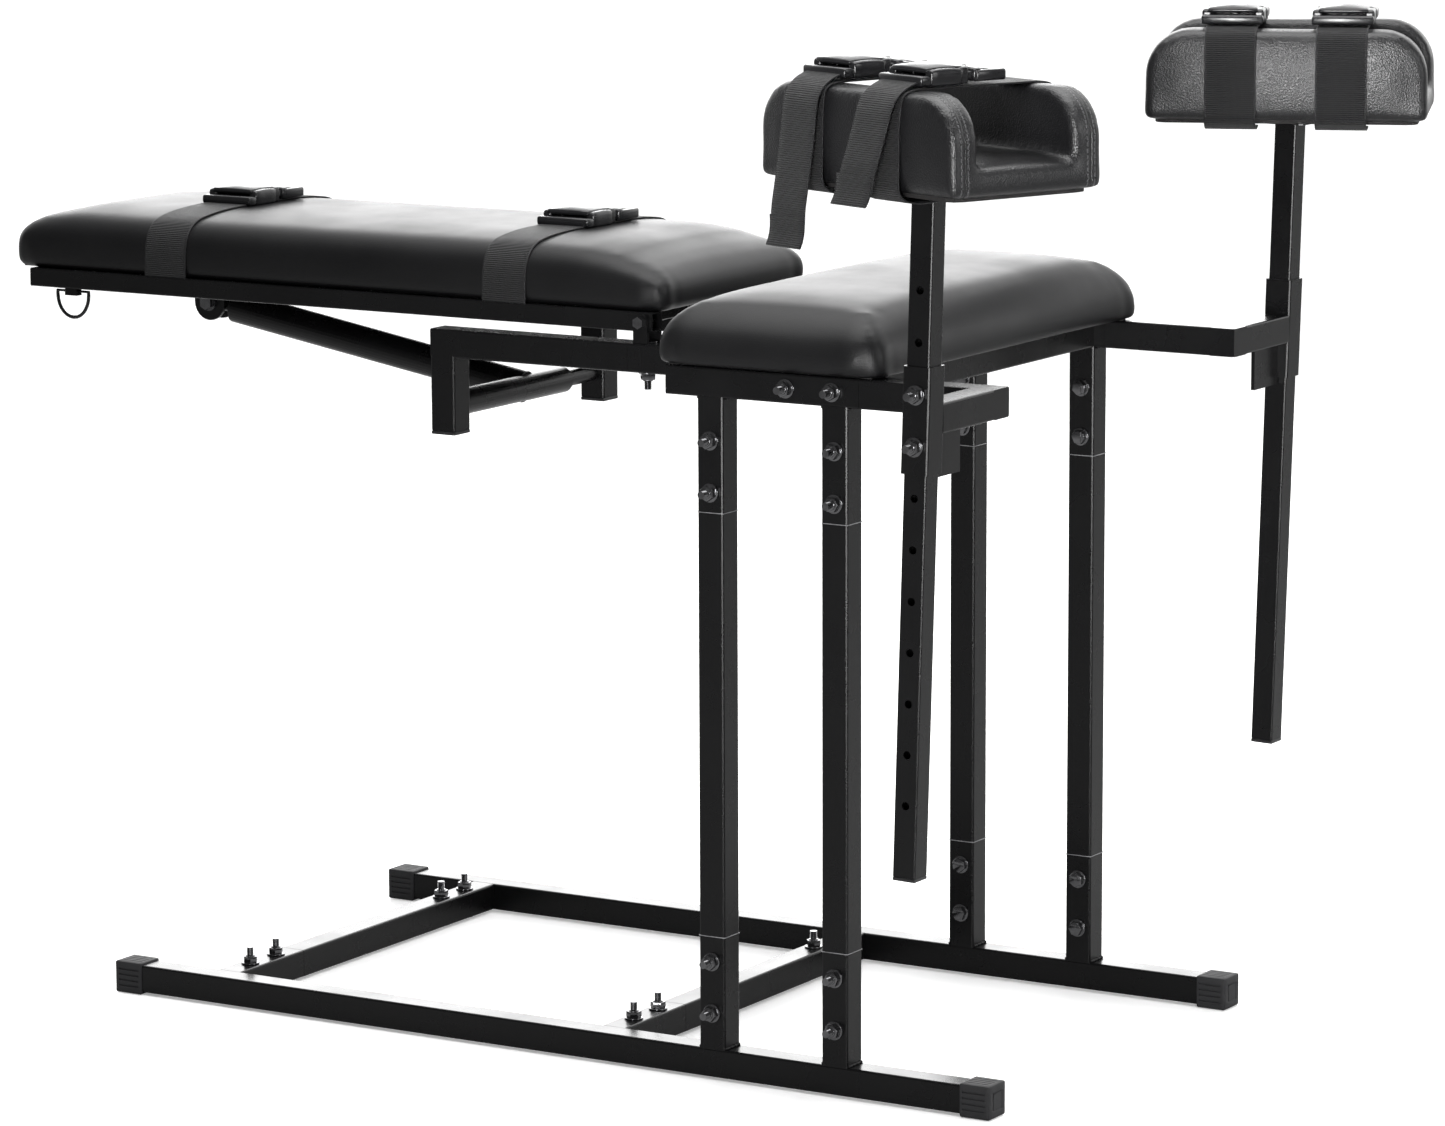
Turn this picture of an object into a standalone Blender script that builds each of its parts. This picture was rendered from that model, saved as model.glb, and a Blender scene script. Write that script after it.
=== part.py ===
"""Adjustable padded bench: four-leg seat frame on an H-shaped floor base, a reclining back
section on a telescopic prop, and two strap-fitted leg cradles on height-adjustable posts.

Metres, +Z up.  Stations run along X from the foot end of the base, Y = 0 is the centre plane.
"""
from math import atan2, cos, hypot, pi, radians, sin, tan

import bmesh
import bpy
from mathutils import Matrix, Vector

# ---------------------------------------------------------------- driving dimensions
GAP = 0.0003            # between pieces that touch
ORIGIN_STATION = 0.5092   # station of the origin, the middle of the overall length

TUBE = 0.030            # square steel tube, outside
WALL = 0.002
SPIGOT = 0.025          # inner tube that joins two lengths of TUBE
SPIGOT_REACH = 0.100
CORNER = 0.002          # outside corner radius of the tube
STUB = 0.1175           # welded stub that takes a spigot
STUB_SIZE = 0.0298      # a stub welded to a tube of the same height stands just inside its faces

BASE_LENGTH = 1.080
BASE_HALF = 0.2635      # centre plane to rail centre
CAP_SKIN = 0.0025
CAP_LENGTH = 0.0345
CAP_END = 0.004
CROSS_STATIONS = {"foot": 0.130, "head": 0.620}
LEG_STATIONS = {"foot": 0.7567, "head": 0.9009}

SEAT_Z = 0.705          # underside of the seat frame
SEAT_FOOT = 0.7045
SEAT_HEAD = 0.9283

SUPPORT_HALF = 0.1475   # centre plane to the recline support's arms
SUPPORT_FOOT = 0.342
SUPPORT_DROP = 0.6265   # lower end of the drop legs
ROD_STATION = 0.357
ROD_Z = 0.6535
ROD_RADIUS = 0.009

HINGE_STATION = 0.600
HINGE_Z = 0.757
HINGE_EAR_RADIUS = 0.0085
HINGE_PIN_RADIUS = 0.004
EAR_PLATE = 0.004

BACK_TUBE = 0.020
BACK_WALL = 0.0015
BACK_HALF = 0.144
BACK_FOOT = -0.192
BACK_HEAD = 0.612
BACK_CROSS = (-0.182, -0.052, 0.560)

PROP_STATION = -0.052   # pivot of the prop under the back frame
PROP_Z = 0.722
PROP_TUBE_RADIUS = 0.0175
PROP_TUBE_END = 0.387   # measured from the cross rod's axis
PROP_ROD_RADIUS = 0.008
PROP_ROD_START = 0.060
PROP_EYE_RADIUS = 0.013
PROP_EYE_HALF = 0.0085
PROP_EAR_INNER = 0.0093
PROP_EAR_RADIUS = 0.020
PROP_BOLT_RADIUS = 0.005
SLEEVE_RADIUS = 0.014
SLEEVE_SPAN = (-0.020, 0.072)

RING_STATION = -0.141   # D-ring under the near back tube
RING_WIDTH = 0.042
RING_DROP = 0.029
RING_WIRE = 0.002
RING_Z = 0.7433

BOARD = 0.012
BACK_PAD = dict(foot=-0.225, head=0.628, half=0.157, low=0.7673, high=0.831)
BACK_BOARD = dict(foot=-0.210, head=0.606, half=0.140)
SEAT_PAD = dict(foot=0.688, head=0.958, half=0.291, low=0.7354, high=0.805)
SEAT_BOARD = dict(foot=0.706, head=0.940, half=0.274)
BACK_STRAPS = {"foot": -0.010, "head": 0.428}
BACK_STRAP_WIDTH = 0.054
STRAP = 0.0022

ARM_HEAD = 1.0815       # outer face of the cradle arm's cross part
POST_HALF_SPAN = 0.3955   # centre plane to post centre
POST = 0.025
POST_BOTTOM = 0.270
POST_TOP = 0.9412
POST_LEAN = radians(1.7)
CLAMP_HALF = 0.0525     # half the height of the clamp that holds the post
CLAMP_BOLT_PITCH = 0.0505
POST_HOLE = 0.0042
POST_HOLE_STEPS = (-7, -6, -5, -4, -3, -2, -1, 2, 3)
GUSSET = dict(reach=0.056, drop=0.045, thick=0.004)
BOLT_HOLE = 0.0043

CRADLE_LENGTH = 0.300
CRADLE_WIDTH = 0.185
CRADLE_LOW = 0.949
CRADLE_HIGH = 1.048
CRADLE_WALL = 0.034
CRADLE_FLOOR = 0.977
CRADLE_END_RADIUS = 0.050
CRADLE_SPLAY = radians(22)
CRADLE_BOARD = dict(length=0.276, width=0.165, low=0.946)
CRADLE_STRAPS = {"foot": -0.058, "head": 0.058}
CRADLE_STRAP_WIDTH = 0.055
PLATE = 0.004
PLATE_SIZE = 0.060
SWIVEL_RADIUS = 0.004
BUCKLE = dict(length=0.074, width=0.058, height=0.013)

SEAT_MID_Z = SEAT_Z + TUBE / 2
RAIL_Z = CAP_SKIN + TUBE / 2
CLAMP_STATION = ARM_HEAD - TUBE / 2
SIDES = {"near": -1, "far": 1}

STEEL = ("powder_coated_steel", (0.010, 0.010, 0.011), 0.32, 0.0)
PLATED = ("black_zinc_steel", (0.060, 0.060, 0.063), 0.30, 0.9)
PLASTIC = ("black_plastic", (0.012, 0.012, 0.013), 0.45, 0.0)
RUBBER = ("black_rubber", (0.015, 0.015, 0.016), 0.70, 0.0)
LEATHER = ("black_leatherette", (0.018, 0.018, 0.020), 0.45, 0.0)
WEBBING = ("black_webbing", (0.016, 0.016, 0.017), 0.85, 0.0)
PLYWOOD = ("black_plywood", (0.030, 0.028, 0.026), 0.75, 0.0)


# ---------------------------------------------------------------- scene and helpers
def clear_scene():
    for obj in list(bpy.data.objects):
        bpy.data.objects.remove(obj, do_unlink=True)


def collection(name):
    found = bpy.data.collections.get(name) or bpy.data.collections.new(name)
    if name not in bpy.context.scene.collection.children:
        bpy.context.scene.collection.children.link(found)
    return found


def material(spec):
    name, colour, roughness, metallic = spec
    mat = bpy.data.materials.get(name) or bpy.data.materials.new(name)
    mat.use_nodes = True
    shader = mat.node_tree.nodes["Principled BSDF"]
    shader.inputs["Base Color"].default_value = (*colour, 1.0)
    shader.inputs["Roughness"].default_value = roughness
    shader.inputs["Metallic"].default_value = metallic
    return mat


def x_of(station):
    """X of a station along the bench."""
    return station - ORIGIN_STATION


def from_bmesh(bm, name="work"):
    mesh = bpy.data.meshes.new(name)
    bm.to_mesh(mesh)
    bm.free()
    obj = bpy.data.objects.new(name, mesh)
    PARTS.objects.link(obj)
    return obj


def block(low, high, radius=0.0, along=None, segments=2):
    """Box between two corners, its edges along the given axis rounded (all edges if None)."""
    bm = bmesh.new()
    bmesh.ops.create_cube(bm, size=1.0)
    size = Vector(high) - Vector(low)
    middle = (Vector(high) + Vector(low)) / 2
    bmesh.ops.scale(bm, vec=size, verts=bm.verts)
    if radius:
        edges = [e for e in bm.edges if along is None or is_along(e, along)]
        bmesh.ops.bevel(bm, geom=edges, offset=radius, segments=segments, profile=0.5,
                        affect="EDGES", clamp_overlap=True, material=-1)
    bmesh.ops.translate(bm, vec=middle, verts=bm.verts)
    return from_bmesh(bm)


def is_along(edge, axis):
    direction = (edge.verts[1].co - edge.verts[0].co).normalized()
    return abs(direction[axis]) > 0.9


def bar(axis, start, end, centre, size=TUBE, radius=CORNER):
    """Square bar along an axis between two positions, about a centre in the other two axes."""
    low, high = [0.0] * 3, [0.0] * 3
    others = [a for a in range(3) if a != axis]
    low[axis], high[axis] = min(start, end), max(start, end)
    for other, middle in zip(others, centre):
        low[other], high[other] = middle - size / 2, middle + size / 2
    return block(low, high, radius, axis)


def cylinder(radius, start, end, sides=24):
    """Round bar between two points."""
    start, end = Vector(start), Vector(end)
    direction = end - start
    bm = bmesh.new()
    bmesh.ops.create_cone(bm, cap_ends=True, segments=sides, radius1=radius, radius2=radius,
                          depth=direction.length)
    turn = direction.to_track_quat("Z", "Y").to_matrix().to_4x4()
    bmesh.ops.transform(bm, matrix=Matrix.Translation((start + end) / 2) @ turn, verts=bm.verts)
    return from_bmesh(bm)


def ear_plate(x, z, radius, foot_z, y_pair, steps=12):
    """Flat plate in the XZ plane: a round end about (x, z), straight sides to foot_z."""
    turn = 1 if foot_z < z else -1
    outline = [(x + radius, foot_z)]
    outline += [(x + radius * cos(pi * i / steps), z + turn * radius * sin(pi * i / steps))
                for i in range(steps + 1)]
    outline.append((x - radius, foot_z))
    bm = bmesh.new()
    face = bm.faces.new([bm.verts.new((px, min(y_pair), pz)) for px, pz in outline])
    swept = bmesh.ops.extrude_face_region(bm, geom=[face])
    moved = [v for v in swept["geom"] if isinstance(v, bmesh.types.BMVert)]
    bmesh.ops.translate(bm, vec=(0, max(y_pair) - min(y_pair), 0), verts=moved)
    bmesh.ops.recalc_face_normals(bm, faces=bm.faces)
    return from_bmesh(bm)


def combine(base, other, operation):
    modifier = base.modifiers.new("join", "BOOLEAN")
    modifier.operation = operation
    modifier.solver = "EXACT"
    modifier.object = other
    graph = bpy.context.evaluated_depsgraph_get()
    result = bpy.data.meshes.new_from_object(base.evaluated_get(graph))
    base.modifiers.clear()
    base.data = result
    bpy.data.objects.remove(other, do_unlink=True)


def piece(name, solids, voids=(), finish=STEEL, smooth=30):
    """One named piece: the union of its solids, less its voids."""
    base = solids[0]
    for other in solids[1:]:
        combine(base, other, "UNION")
    for other in voids:
        combine(base, other, "DIFFERENCE")
    base.name = name
    base.data.name = name
    base.data.materials.clear()
    base.data.materials.append(material(finish))
    base.data.shade_smooth()
    base.data.set_sharp_from_angle(angle=radians(smooth))
    return base


def move(obj, matrix):
    obj.data.transform(matrix)
    return obj


def y_tube(start, end, station, z, size=TUBE, radius=CORNER):
    return bar(1, start, end, (x_of(station), z), size, radius)


def x_tube(start, end, y, z, size=TUBE, radius=CORNER):
    return bar(0, x_of(start), x_of(end), (y, z), size, radius)


def z_tube(start, end, station, y, size=TUBE, radius=CORNER):
    return bar(2, start, end, (x_of(station), y), size, radius)


# ---------------------------------------------------------------- floor base and legs
def base_rail(side, sign):
    """Floor rail with two leg stubs standing on it and two cross stubs on its inner face."""
    y = sign * BASE_HALF
    inner = TUBE - 2 * WALL
    solids = [x_tube(CAP_END, BASE_LENGTH - CAP_END, y, RAIL_Z)]
    voids = [x_tube(-0.01, BASE_LENGTH + 0.01, y, RAIL_Z, inner, 0.0)]
    rail_top = RAIL_Z + TUBE / 2
    face = sign * (BASE_HALF - TUBE / 2)
    for station in LEG_STATIONS.values():
        solids.append(z_tube(rail_top - WALL / 2, rail_top + STUB, station, y))
        voids.append(z_tube(rail_top + WALL, rail_top + STUB + 0.01, station, y, inner, 0.0))
    for station in CROSS_STATIONS.values():
        solids.append(y_tube(face + sign * WALL / 2, face - sign * STUB, station, RAIL_Z,
                             STUB_SIZE))
        voids.append(y_tube(face - sign * WALL, face - sign * (STUB + 0.01), station, RAIL_Z,
                            inner, 0.0))
    return piece(f"base_rail_{side}", solids, voids)


def end_cap(side, sign, end, station, inward):
    """Push-on rubber foot over the end of a floor rail."""
    y = sign * BASE_HALF
    skin = TUBE + 2 * CAP_SKIN
    solid = block(
        (x_of(min(station, station + inward * CAP_LENGTH)), y - skin / 2, 0.0),
        (x_of(max(station, station + inward * CAP_LENGTH)), y + skin / 2, skin), 0.0015)
    void = x_tube(station + inward * (CAP_END - GAP), station + inward * (CAP_LENGTH + 0.01),
                  y, RAIL_Z, TUBE + 2 * GAP, CORNER)
    return piece(f"end_cap_{side}_{end}", [solid], [void], RUBBER)


def spigot_tube(name, make, low, high):
    """Length of tube with an inner tube standing out of both ends, hollow all through."""
    inner = SPIGOT - 2 * WALL
    middle = (low + high) / 2
    solids = [make(low + GAP, high - GAP, TUBE, CORNER),
              make(low - SPIGOT_REACH, middle, SPIGOT, 0.001),
              make(middle, high + SPIGOT_REACH, SPIGOT, 0.001)]
    void = make(low - SPIGOT_REACH - 0.01, high + SPIGOT_REACH + 0.01, inner, 0.0)
    return piece(name, solids, [void])


def build_base():
    rail_top = RAIL_Z + TUBE / 2
    for side, sign in SIDES.items():
        base_rail(side, sign)
        end_cap(side, sign, "foot", 0.0, 1)
        end_cap(side, sign, "head", BASE_LENGTH, -1)
        for end, station in LEG_STATIONS.items():
            spigot_tube(f"leg_tube_{side}_{end}",
                        lambda a, b, s, r, at=station: z_tube(a, b, at, sign * BASE_HALF, s, r),
                        rail_top + STUB, SEAT_Z - STUB)
    reach = BASE_HALF - TUBE / 2 - STUB
    for end, station in CROSS_STATIONS.items():
        spigot_tube(f"cross_tube_{end}",
                    lambda a, b, s, r, at=station: y_tube(a, b, at, RAIL_Z, s, r),
                    -reach, reach)


# ---------------------------------------------------------------- seat
def hinge_ears(sign):
    """Two plates on a support stub, either side of the back frame's tube."""
    ears = []
    clear = BACK_TUBE / 2 + 0.0005
    low = SEAT_Z + TUBE - 0.012
    for offset in (clear, -clear - EAR_PLATE):
        y0 = BACK_HALF + offset
        ears.append(ear_plate(x_of(HINGE_STATION), HINGE_Z, HINGE_EAR_RADIUS, low,
                              (sign * y0, sign * (y0 + EAR_PLATE))))
    return ears


def build_seat():
    inner = TUBE - 2 * WALL
    rail_inner = BASE_HALF - TUBE / 2
    solids, voids = [], []
    for sign in SIDES.values():
        y = sign * BASE_HALF
        solids.append(x_tube(SEAT_FOOT, SEAT_HEAD, y, SEAT_MID_Z))
        voids.append(x_tube(SEAT_FOOT - 0.01, SEAT_HEAD + 0.01, y, SEAT_MID_Z, inner, 0.0))
        for station in LEG_STATIONS.values():
            solids.append(z_tube(SEAT_Z - STUB, SEAT_Z + WALL / 2, station, y))
            voids.append(z_tube(SEAT_Z - STUB - 0.01, SEAT_Z - WALL, station, y, inner, 0.0))
        stub_y = sign * SUPPORT_HALF
        solids.append(x_tube(SEAT_FOOT - STUB, SEAT_FOOT + WALL / 2, stub_y, SEAT_MID_Z))
        voids.append(x_tube(SEAT_FOOT - STUB - 0.01, SEAT_FOOT - WALL, stub_y, SEAT_MID_Z,
                            inner, 0.0))
        solids += hinge_ears(sign)
        pin_hole = cylinder(HINGE_PIN_RADIUS + GAP,
                            (x_of(HINGE_STATION), sign * (BACK_HALF - 0.03), HINGE_Z),
                            (x_of(HINGE_STATION), sign * (BACK_HALF + 0.03), HINGE_Z), 16)
        voids.append(pin_hole)
    for station in (SEAT_FOOT + TUBE / 2, LEG_STATIONS["head"]):
        overlap = rail_inner + WALL / 2
        solids.append(y_tube(-overlap, overlap, station, SEAT_MID_Z, STUB_SIZE))
        reach = rail_inner + WALL + 0.001
        voids.append(y_tube(-reach, reach, station, SEAT_MID_Z, inner, 0.0))
    piece("seat_frame", solids, voids)
    upholster("seat", SEAT_PAD, SEAT_BOARD)


def upholster(name, pad, board):
    """Cushion with a pocket underneath for its plywood board."""
    low = pad["low"]
    cushion = block((x_of(pad["foot"]), -pad["half"], low),
                    (x_of(pad["head"]), pad["half"], pad["high"]))
    round_cushion(cushion, low)
    board_low = (x_of(board["foot"]), -board["half"], low)
    board_high = (x_of(board["head"]), board["half"], low + BOARD)
    piece(f"{name}_board", [block(board_low, board_high, 0.0)], finish=PLYWOOD)
    pocket = block((board_low[0] - GAP, board_low[1] - GAP, low - 0.01),
                   (board_high[0] + GAP, board_high[1] + GAP, board_high[2] + GAP))
    piece(f"{name}_pad", [cushion], [pocket], LEATHER, 40)


def round_cushion(cushion, low, corner=0.035, shoulder=0.040):
    """Round the upright corners and the top edge of a box cushion."""
    bm = bmesh.new()
    bm.from_mesh(cushion.data)
    upright = [e for e in bm.edges if is_along(e, 2)]
    bmesh.ops.bevel(bm, geom=upright, offset=corner, segments=5, profile=0.5, affect="EDGES",
                    material=-1)
    top = [e for e in bm.edges if min(v.co.z for v in e.verts) > low + 0.02]
    bmesh.ops.bevel(bm, geom=top, offset=shoulder * 0.8, segments=4, profile=0.5,
                    affect="EDGES", material=-1)
    bmesh.ops.recalc_face_normals(bm, faces=bm.faces)
    bm.to_mesh(cushion.data)
    bm.free()


# ---------------------------------------------------------------- recline mechanism
def build_support():
    """Two arms plugged into the seat frame, their drop legs joined by a round cross rod."""
    inner = TUBE - 2 * WALL
    arm_head = SEAT_FOOT - STUB - GAP
    solids, voids = [], []
    for sign in SIDES.values():
        y = sign * SUPPORT_HALF
        solids.append(x_tube(SUPPORT_FOOT, arm_head, y, SEAT_MID_Z))
        solids.append(z_tube(SUPPORT_DROP, SEAT_MID_Z, SUPPORT_FOOT + TUBE / 2, y))
        solids.append(x_tube(arm_head - 0.05, arm_head + SPIGOT_REACH, y, SEAT_MID_Z, SPIGOT,
                             0.001))
        voids.append(z_tube(SUPPORT_DROP - 0.01, SEAT_Z - WALL, SUPPORT_FOOT + TUBE / 2, y,
                            inner, 0.0))
        voids.append(x_tube(SUPPORT_FOOT + TUBE, arm_head + SPIGOT_REACH + 0.01, y, SEAT_MID_Z,
                            SPIGOT - 2 * WALL, 0.0))
    reach = SUPPORT_HALF - TUBE / 2 + WALL / 2
    solids.append(cylinder(ROD_RADIUS, (x_of(ROD_STATION), -reach, ROD_Z),
                           (x_of(ROD_STATION), reach, ROD_Z)))
    piece("recline_support", solids, voids)
    for side, sign in SIDES.items():
        plug(f"support_plug_{side}", ROD_STATION, sign * SUPPORT_HALF, SUPPORT_DROP, TUBE)
    spacer_low = -(SUPPORT_HALF - TUBE / 2) + GAP
    rod_bush("prop_spacer", spacer_low, SLEEVE_SPAN[0] - GAP)


def plug(name, station, y, z, size, lean=None):
    """Plastic insert that closes the lower end of a tube."""
    flange = block((-size / 2, -size / 2, -0.0040), (size / 2, size / 2, -GAP), 0.001)
    inside = size - 2 * WALL - 2 * GAP
    body = block((-inside / 2, -inside / 2, -0.002), (inside / 2, inside / 2, 0.012))
    insert = piece(name, [flange, body], finish=PLASTIC)
    place = Matrix.Translation((x_of(station), y, z))
    return move(insert, place @ (lean or Matrix.Identity(4)))


def rod_bush(name, start, end):
    axis = (x_of(ROD_STATION), ROD_Z)
    outer = cylinder(SLEEVE_RADIUS, (axis[0], start, axis[1]), (axis[0], end, axis[1]), 32)
    bore = cylinder(ROD_RADIUS + GAP, (axis[0], start - 0.01, axis[1]),
                    (axis[0], end + 0.01, axis[1]))
    return piece(name, [outer], [bore])


def prop_frame():
    """Matrix that takes +X from the cross rod's axis towards the prop's upper pivot."""
    run, rise = PROP_STATION - ROD_STATION, PROP_Z - ROD_Z
    turn = Matrix.Rotation(-atan2(rise, run), 4, "Y")
    return Matrix.Translation((x_of(ROD_STATION), 0.0, ROD_Z)) @ turn, hypot(run, rise)


def build_prop():
    """Telescopic prop: a sleeved tube on the cross rod, and the eye rod that slides in it."""
    place, length = prop_frame()
    sleeve = cylinder(SLEEVE_RADIUS, (0, SLEEVE_SPAN[0], 0), (0, SLEEVE_SPAN[1], 0), 32)
    tube = cylinder(PROP_TUBE_RADIUS, (0.002, 0, 0), (PROP_TUBE_END, 0, 0), 32)
    hollow = cylinder(PROP_TUBE_RADIUS - WALL, (0.020, 0, 0), (PROP_TUBE_END - 0.010, 0, 0), 32)
    mouth = cylinder(PROP_ROD_RADIUS + 0.0005, (PROP_TUBE_END - 0.02, 0, 0),
                     (PROP_TUBE_END + 0.01, 0, 0))
    bore = cylinder(ROD_RADIUS + GAP, (0, SLEEVE_SPAN[0] - 0.01, 0),
                    (0, SLEEVE_SPAN[1] + 0.01, 0))
    move(piece("prop_tube", [tube, sleeve], [hollow, mouth, bore]), place)

    rod = cylinder(PROP_ROD_RADIUS, (PROP_ROD_START, 0, 0), (length - 0.004, 0, 0))
    eye = cylinder(PROP_EYE_RADIUS, (length, -PROP_EYE_HALF, 0), (length, PROP_EYE_HALF, 0))
    eye_bore = cylinder(PROP_BOLT_RADIUS + GAP, (length, -0.02, 0), (length, 0.02, 0), 16)
    move(piece("prop_rod", [rod, eye], [eye_bore], PLATED), place)

    x = x_of(PROP_STATION)
    face = -(PROP_EAR_INNER + EAR_PLATE)
    shank = cylinder(PROP_BOLT_RADIUS, (x, -PROP_EAR_INNER - 0.0005, PROP_Z),
                     (x, face - 0.003, PROP_Z), 16)
    washer = cylinder(0.0095, (x, face - GAP, PROP_Z), (x, face - 0.0020, PROP_Z), 20)
    head = cylinder(0.0080, (x, face - 0.0015, PROP_Z), (x, face - 0.0085, PROP_Z), 6)
    piece("prop_bolt", [washer, head, shank], finish=PLATED)


def build_back():
    """Reclining frame of small square tube with a fork for the prop and a D-ring lug."""
    inner = BACK_TUBE - 2 * BACK_WALL
    solids, voids = [], []
    for sign in SIDES.values():
        y = sign * BACK_HALF
        solids.append(x_tube(BACK_FOOT, BACK_HEAD, y, HINGE_Z, BACK_TUBE, 0.0015))
        voids.append(x_tube(BACK_FOOT - 0.01, BACK_HEAD + 0.01, y, HINGE_Z, inner, 0.0))
    side_face = BACK_HALF - BACK_TUBE / 2
    for station in BACK_CROSS:
        solids.append(y_tube(-side_face - 0.0008, side_face + 0.0008, station, HINGE_Z,
                             BACK_TUBE, 0.0015))
        reach = side_face + BACK_WALL + 0.001
        voids.append(y_tube(-reach, reach, station, HINGE_Z, inner, 0.0))
    x = x_of(PROP_STATION)
    for sign in SIDES.values():
        solids.append(ear_plate(x, PROP_Z, PROP_EAR_RADIUS,
                                HINGE_Z - BACK_TUBE / 2 + 0.0008,
                                (sign * PROP_EAR_INNER, sign * (PROP_EAR_INNER + EAR_PLATE))))
    voids.append(cylinder(PROP_BOLT_RADIUS + GAP, (x, -0.03, PROP_Z), (x, 0.03, PROP_Z), 16))
    lug_x = x_of(RING_STATION)
    solids.append(block((lug_x - 0.008, -BACK_HALF - 0.0045, RING_Z - 0.0045),
                        (lug_x + 0.008, -BACK_HALF + 0.0045, HINGE_Z - BACK_TUBE / 2 + 0.0008)))
    voids.append(cylinder(RING_WIRE + 0.0005, (lug_x - 0.02, -BACK_HALF, RING_Z),
                          (lug_x + 0.02, -BACK_HALF, RING_Z), 12))
    for sign in SIDES.values():
        voids.append(cylinder(HINGE_PIN_RADIUS + GAP,
                              (x_of(HINGE_STATION), sign * (BACK_HALF - 0.03), HINGE_Z),
                              (x_of(HINGE_STATION), sign * (BACK_HALF + 0.03), HINGE_Z), 16))
    piece("back_frame", solids, voids)

    reach = BACK_TUBE / 2 + EAR_PLATE + 0.0005
    for side, sign in SIDES.items():
        start = (x_of(HINGE_STATION), sign * (BACK_HALF - reach - 0.003), HINGE_Z)
        end = (x_of(HINGE_STATION), sign * (BACK_HALF + reach + 0.001), HINGE_Z)
        shank = cylinder(HINGE_PIN_RADIUS, start, end, 16)
        outer = sign * (BACK_HALF + reach + GAP)
        head = cylinder(0.0065, (start[0], outer, HINGE_Z),
                        (start[0], outer + sign * 0.005, HINGE_Z), 6)
        piece(f"hinge_pin_{side}", [shank, head], finish=PLATED)
    d_ring()
    upholster("back", BACK_PAD, BACK_BOARD)


def d_ring():
    """Welded wire D hanging by its straight bar under the near back tube."""
    half = RING_WIDTH / 2
    steps = 14
    points = [(-half, 0.0), (half, 0.0)]
    bend = RING_DROP - 0.004
    points += [(half * cos(pi * i / steps), -0.004 - bend * sin(pi * i / steps))
               for i in range(steps + 1)]
    curve = bpy.data.curves.new("d_ring", "CURVE")
    curve.dimensions = "3D"
    curve.bevel_depth = RING_WIRE
    curve.bevel_resolution = 2
    spline = curve.splines.new("POLY")
    spline.points.add(len(points) - 1)
    spline.use_cyclic_u = True
    for point, (x, z) in zip(spline.points, points):
        point.co = (x_of(RING_STATION) + x, -BACK_HALF, RING_Z + z, 1.0)
    wire = bpy.data.objects.new("d_ring_curve", curve)
    PARTS.objects.link(wire)
    graph = bpy.context.evaluated_depsgraph_get()
    mesh = bpy.data.meshes.new_from_object(wire.evaluated_get(graph))
    bpy.data.objects.remove(wire, do_unlink=True)
    ring = bpy.data.objects.new("d_ring", mesh)
    PARTS.objects.link(ring)
    piece("d_ring", [ring], finish=PLATED, smooth=60)


# ---------------------------------------------------------------- straps and buckles
def band(name, path, width, place):
    """Webbing that follows a path in the YZ plane, given as its inner face."""
    bm = bmesh.new()
    verts = [bm.verts.new((-width / 2, y, z)) for y, z in path]
    edges = [bm.edges.new(pair) for pair in zip(verts, verts[1:])]
    swept = bmesh.ops.extrude_edge_only(bm, edges=edges)
    far = [v for v in swept["geom"] if isinstance(v, bmesh.types.BMVert)]
    bmesh.ops.translate(bm, vec=(width, 0, 0), verts=far)
    bmesh.ops.recalc_face_normals(bm, faces=bm.faces)
    strip = from_bmesh(bm)
    crown = max(strip.data.polygons, key=lambda face: face.center.z)
    outward = 1.0 if crown.normal.z > 0 else -1.0
    solidify = strip.modifiers.new("thickness", "SOLIDIFY")
    solidify.thickness = STRAP
    solidify.offset = outward
    solidify.use_even_offset = True
    graph = bpy.context.evaluated_depsgraph_get()
    mesh = bpy.data.meshes.new_from_object(strip.evaluated_get(graph))
    strip.modifiers.clear()
    strip.data = mesh
    return move(piece(name, [strip], finish=WEBBING, smooth=50), place)


def arc(centre, radius, start, end, steps):
    """Points on an arc, angles in degrees from +Y towards +Z."""
    angles = [radians(start + (end - start) * i / steps) for i in range(steps + 1)]
    return [(centre[0] + radius * cos(a), centre[1] + radius * sin(a)) for a in angles]


def buckle(name, place):
    """Side-release buckle: socket and prong body as one closed outline."""
    size = BUCKLE
    body = block((-size["width"] / 2, -size["length"] / 2, 0.0),
                 (size["width"] / 2, size["length"] * 0.08, size["height"]), 0.003)
    prongs = block((-size["width"] * 0.36, 0.0, 0.002),
                   (size["width"] * 0.36, size["length"] / 2, size["height"] - 0.003), 0.002)
    return move(piece(name, [body, prongs], finish=PLASTIC), place)


def build_back_straps():
    """Two straps over the back pad, from one lower edge to the other."""
    pad = BACK_PAD
    side = pad["half"] + 0.0006
    top = pad["high"] + 0.0006
    shoulder = 0.030
    low = pad["low"] - 0.004
    path = [(side, low)] + arc((side - shoulder, top - shoulder), shoulder, 0, 90, 6)
    path += [(-y, z) for y, z in reversed(path)]
    for end, station in BACK_STRAPS.items():
        at = Matrix.Translation((x_of(station), 0, 0))
        band(f"back_strap_{end}", path, BACK_STRAP_WIDTH, at)
        buckle(f"back_buckle_{end}",
               Matrix.Translation((x_of(station), 0.018, top + STRAP + 0.0006)))


# ---------------------------------------------------------------- cradle arms, posts, cradles
def clamp_frame(sign):
    """Matrix at the middle of a post clamp, its Z along the leaning post."""
    place = Matrix.Translation((x_of(CLAMP_STATION), sign * POST_HALF_SPAN, SEAT_MID_Z))
    return place @ Matrix.Rotation(POST_LEAN, 4, "Y")


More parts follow.
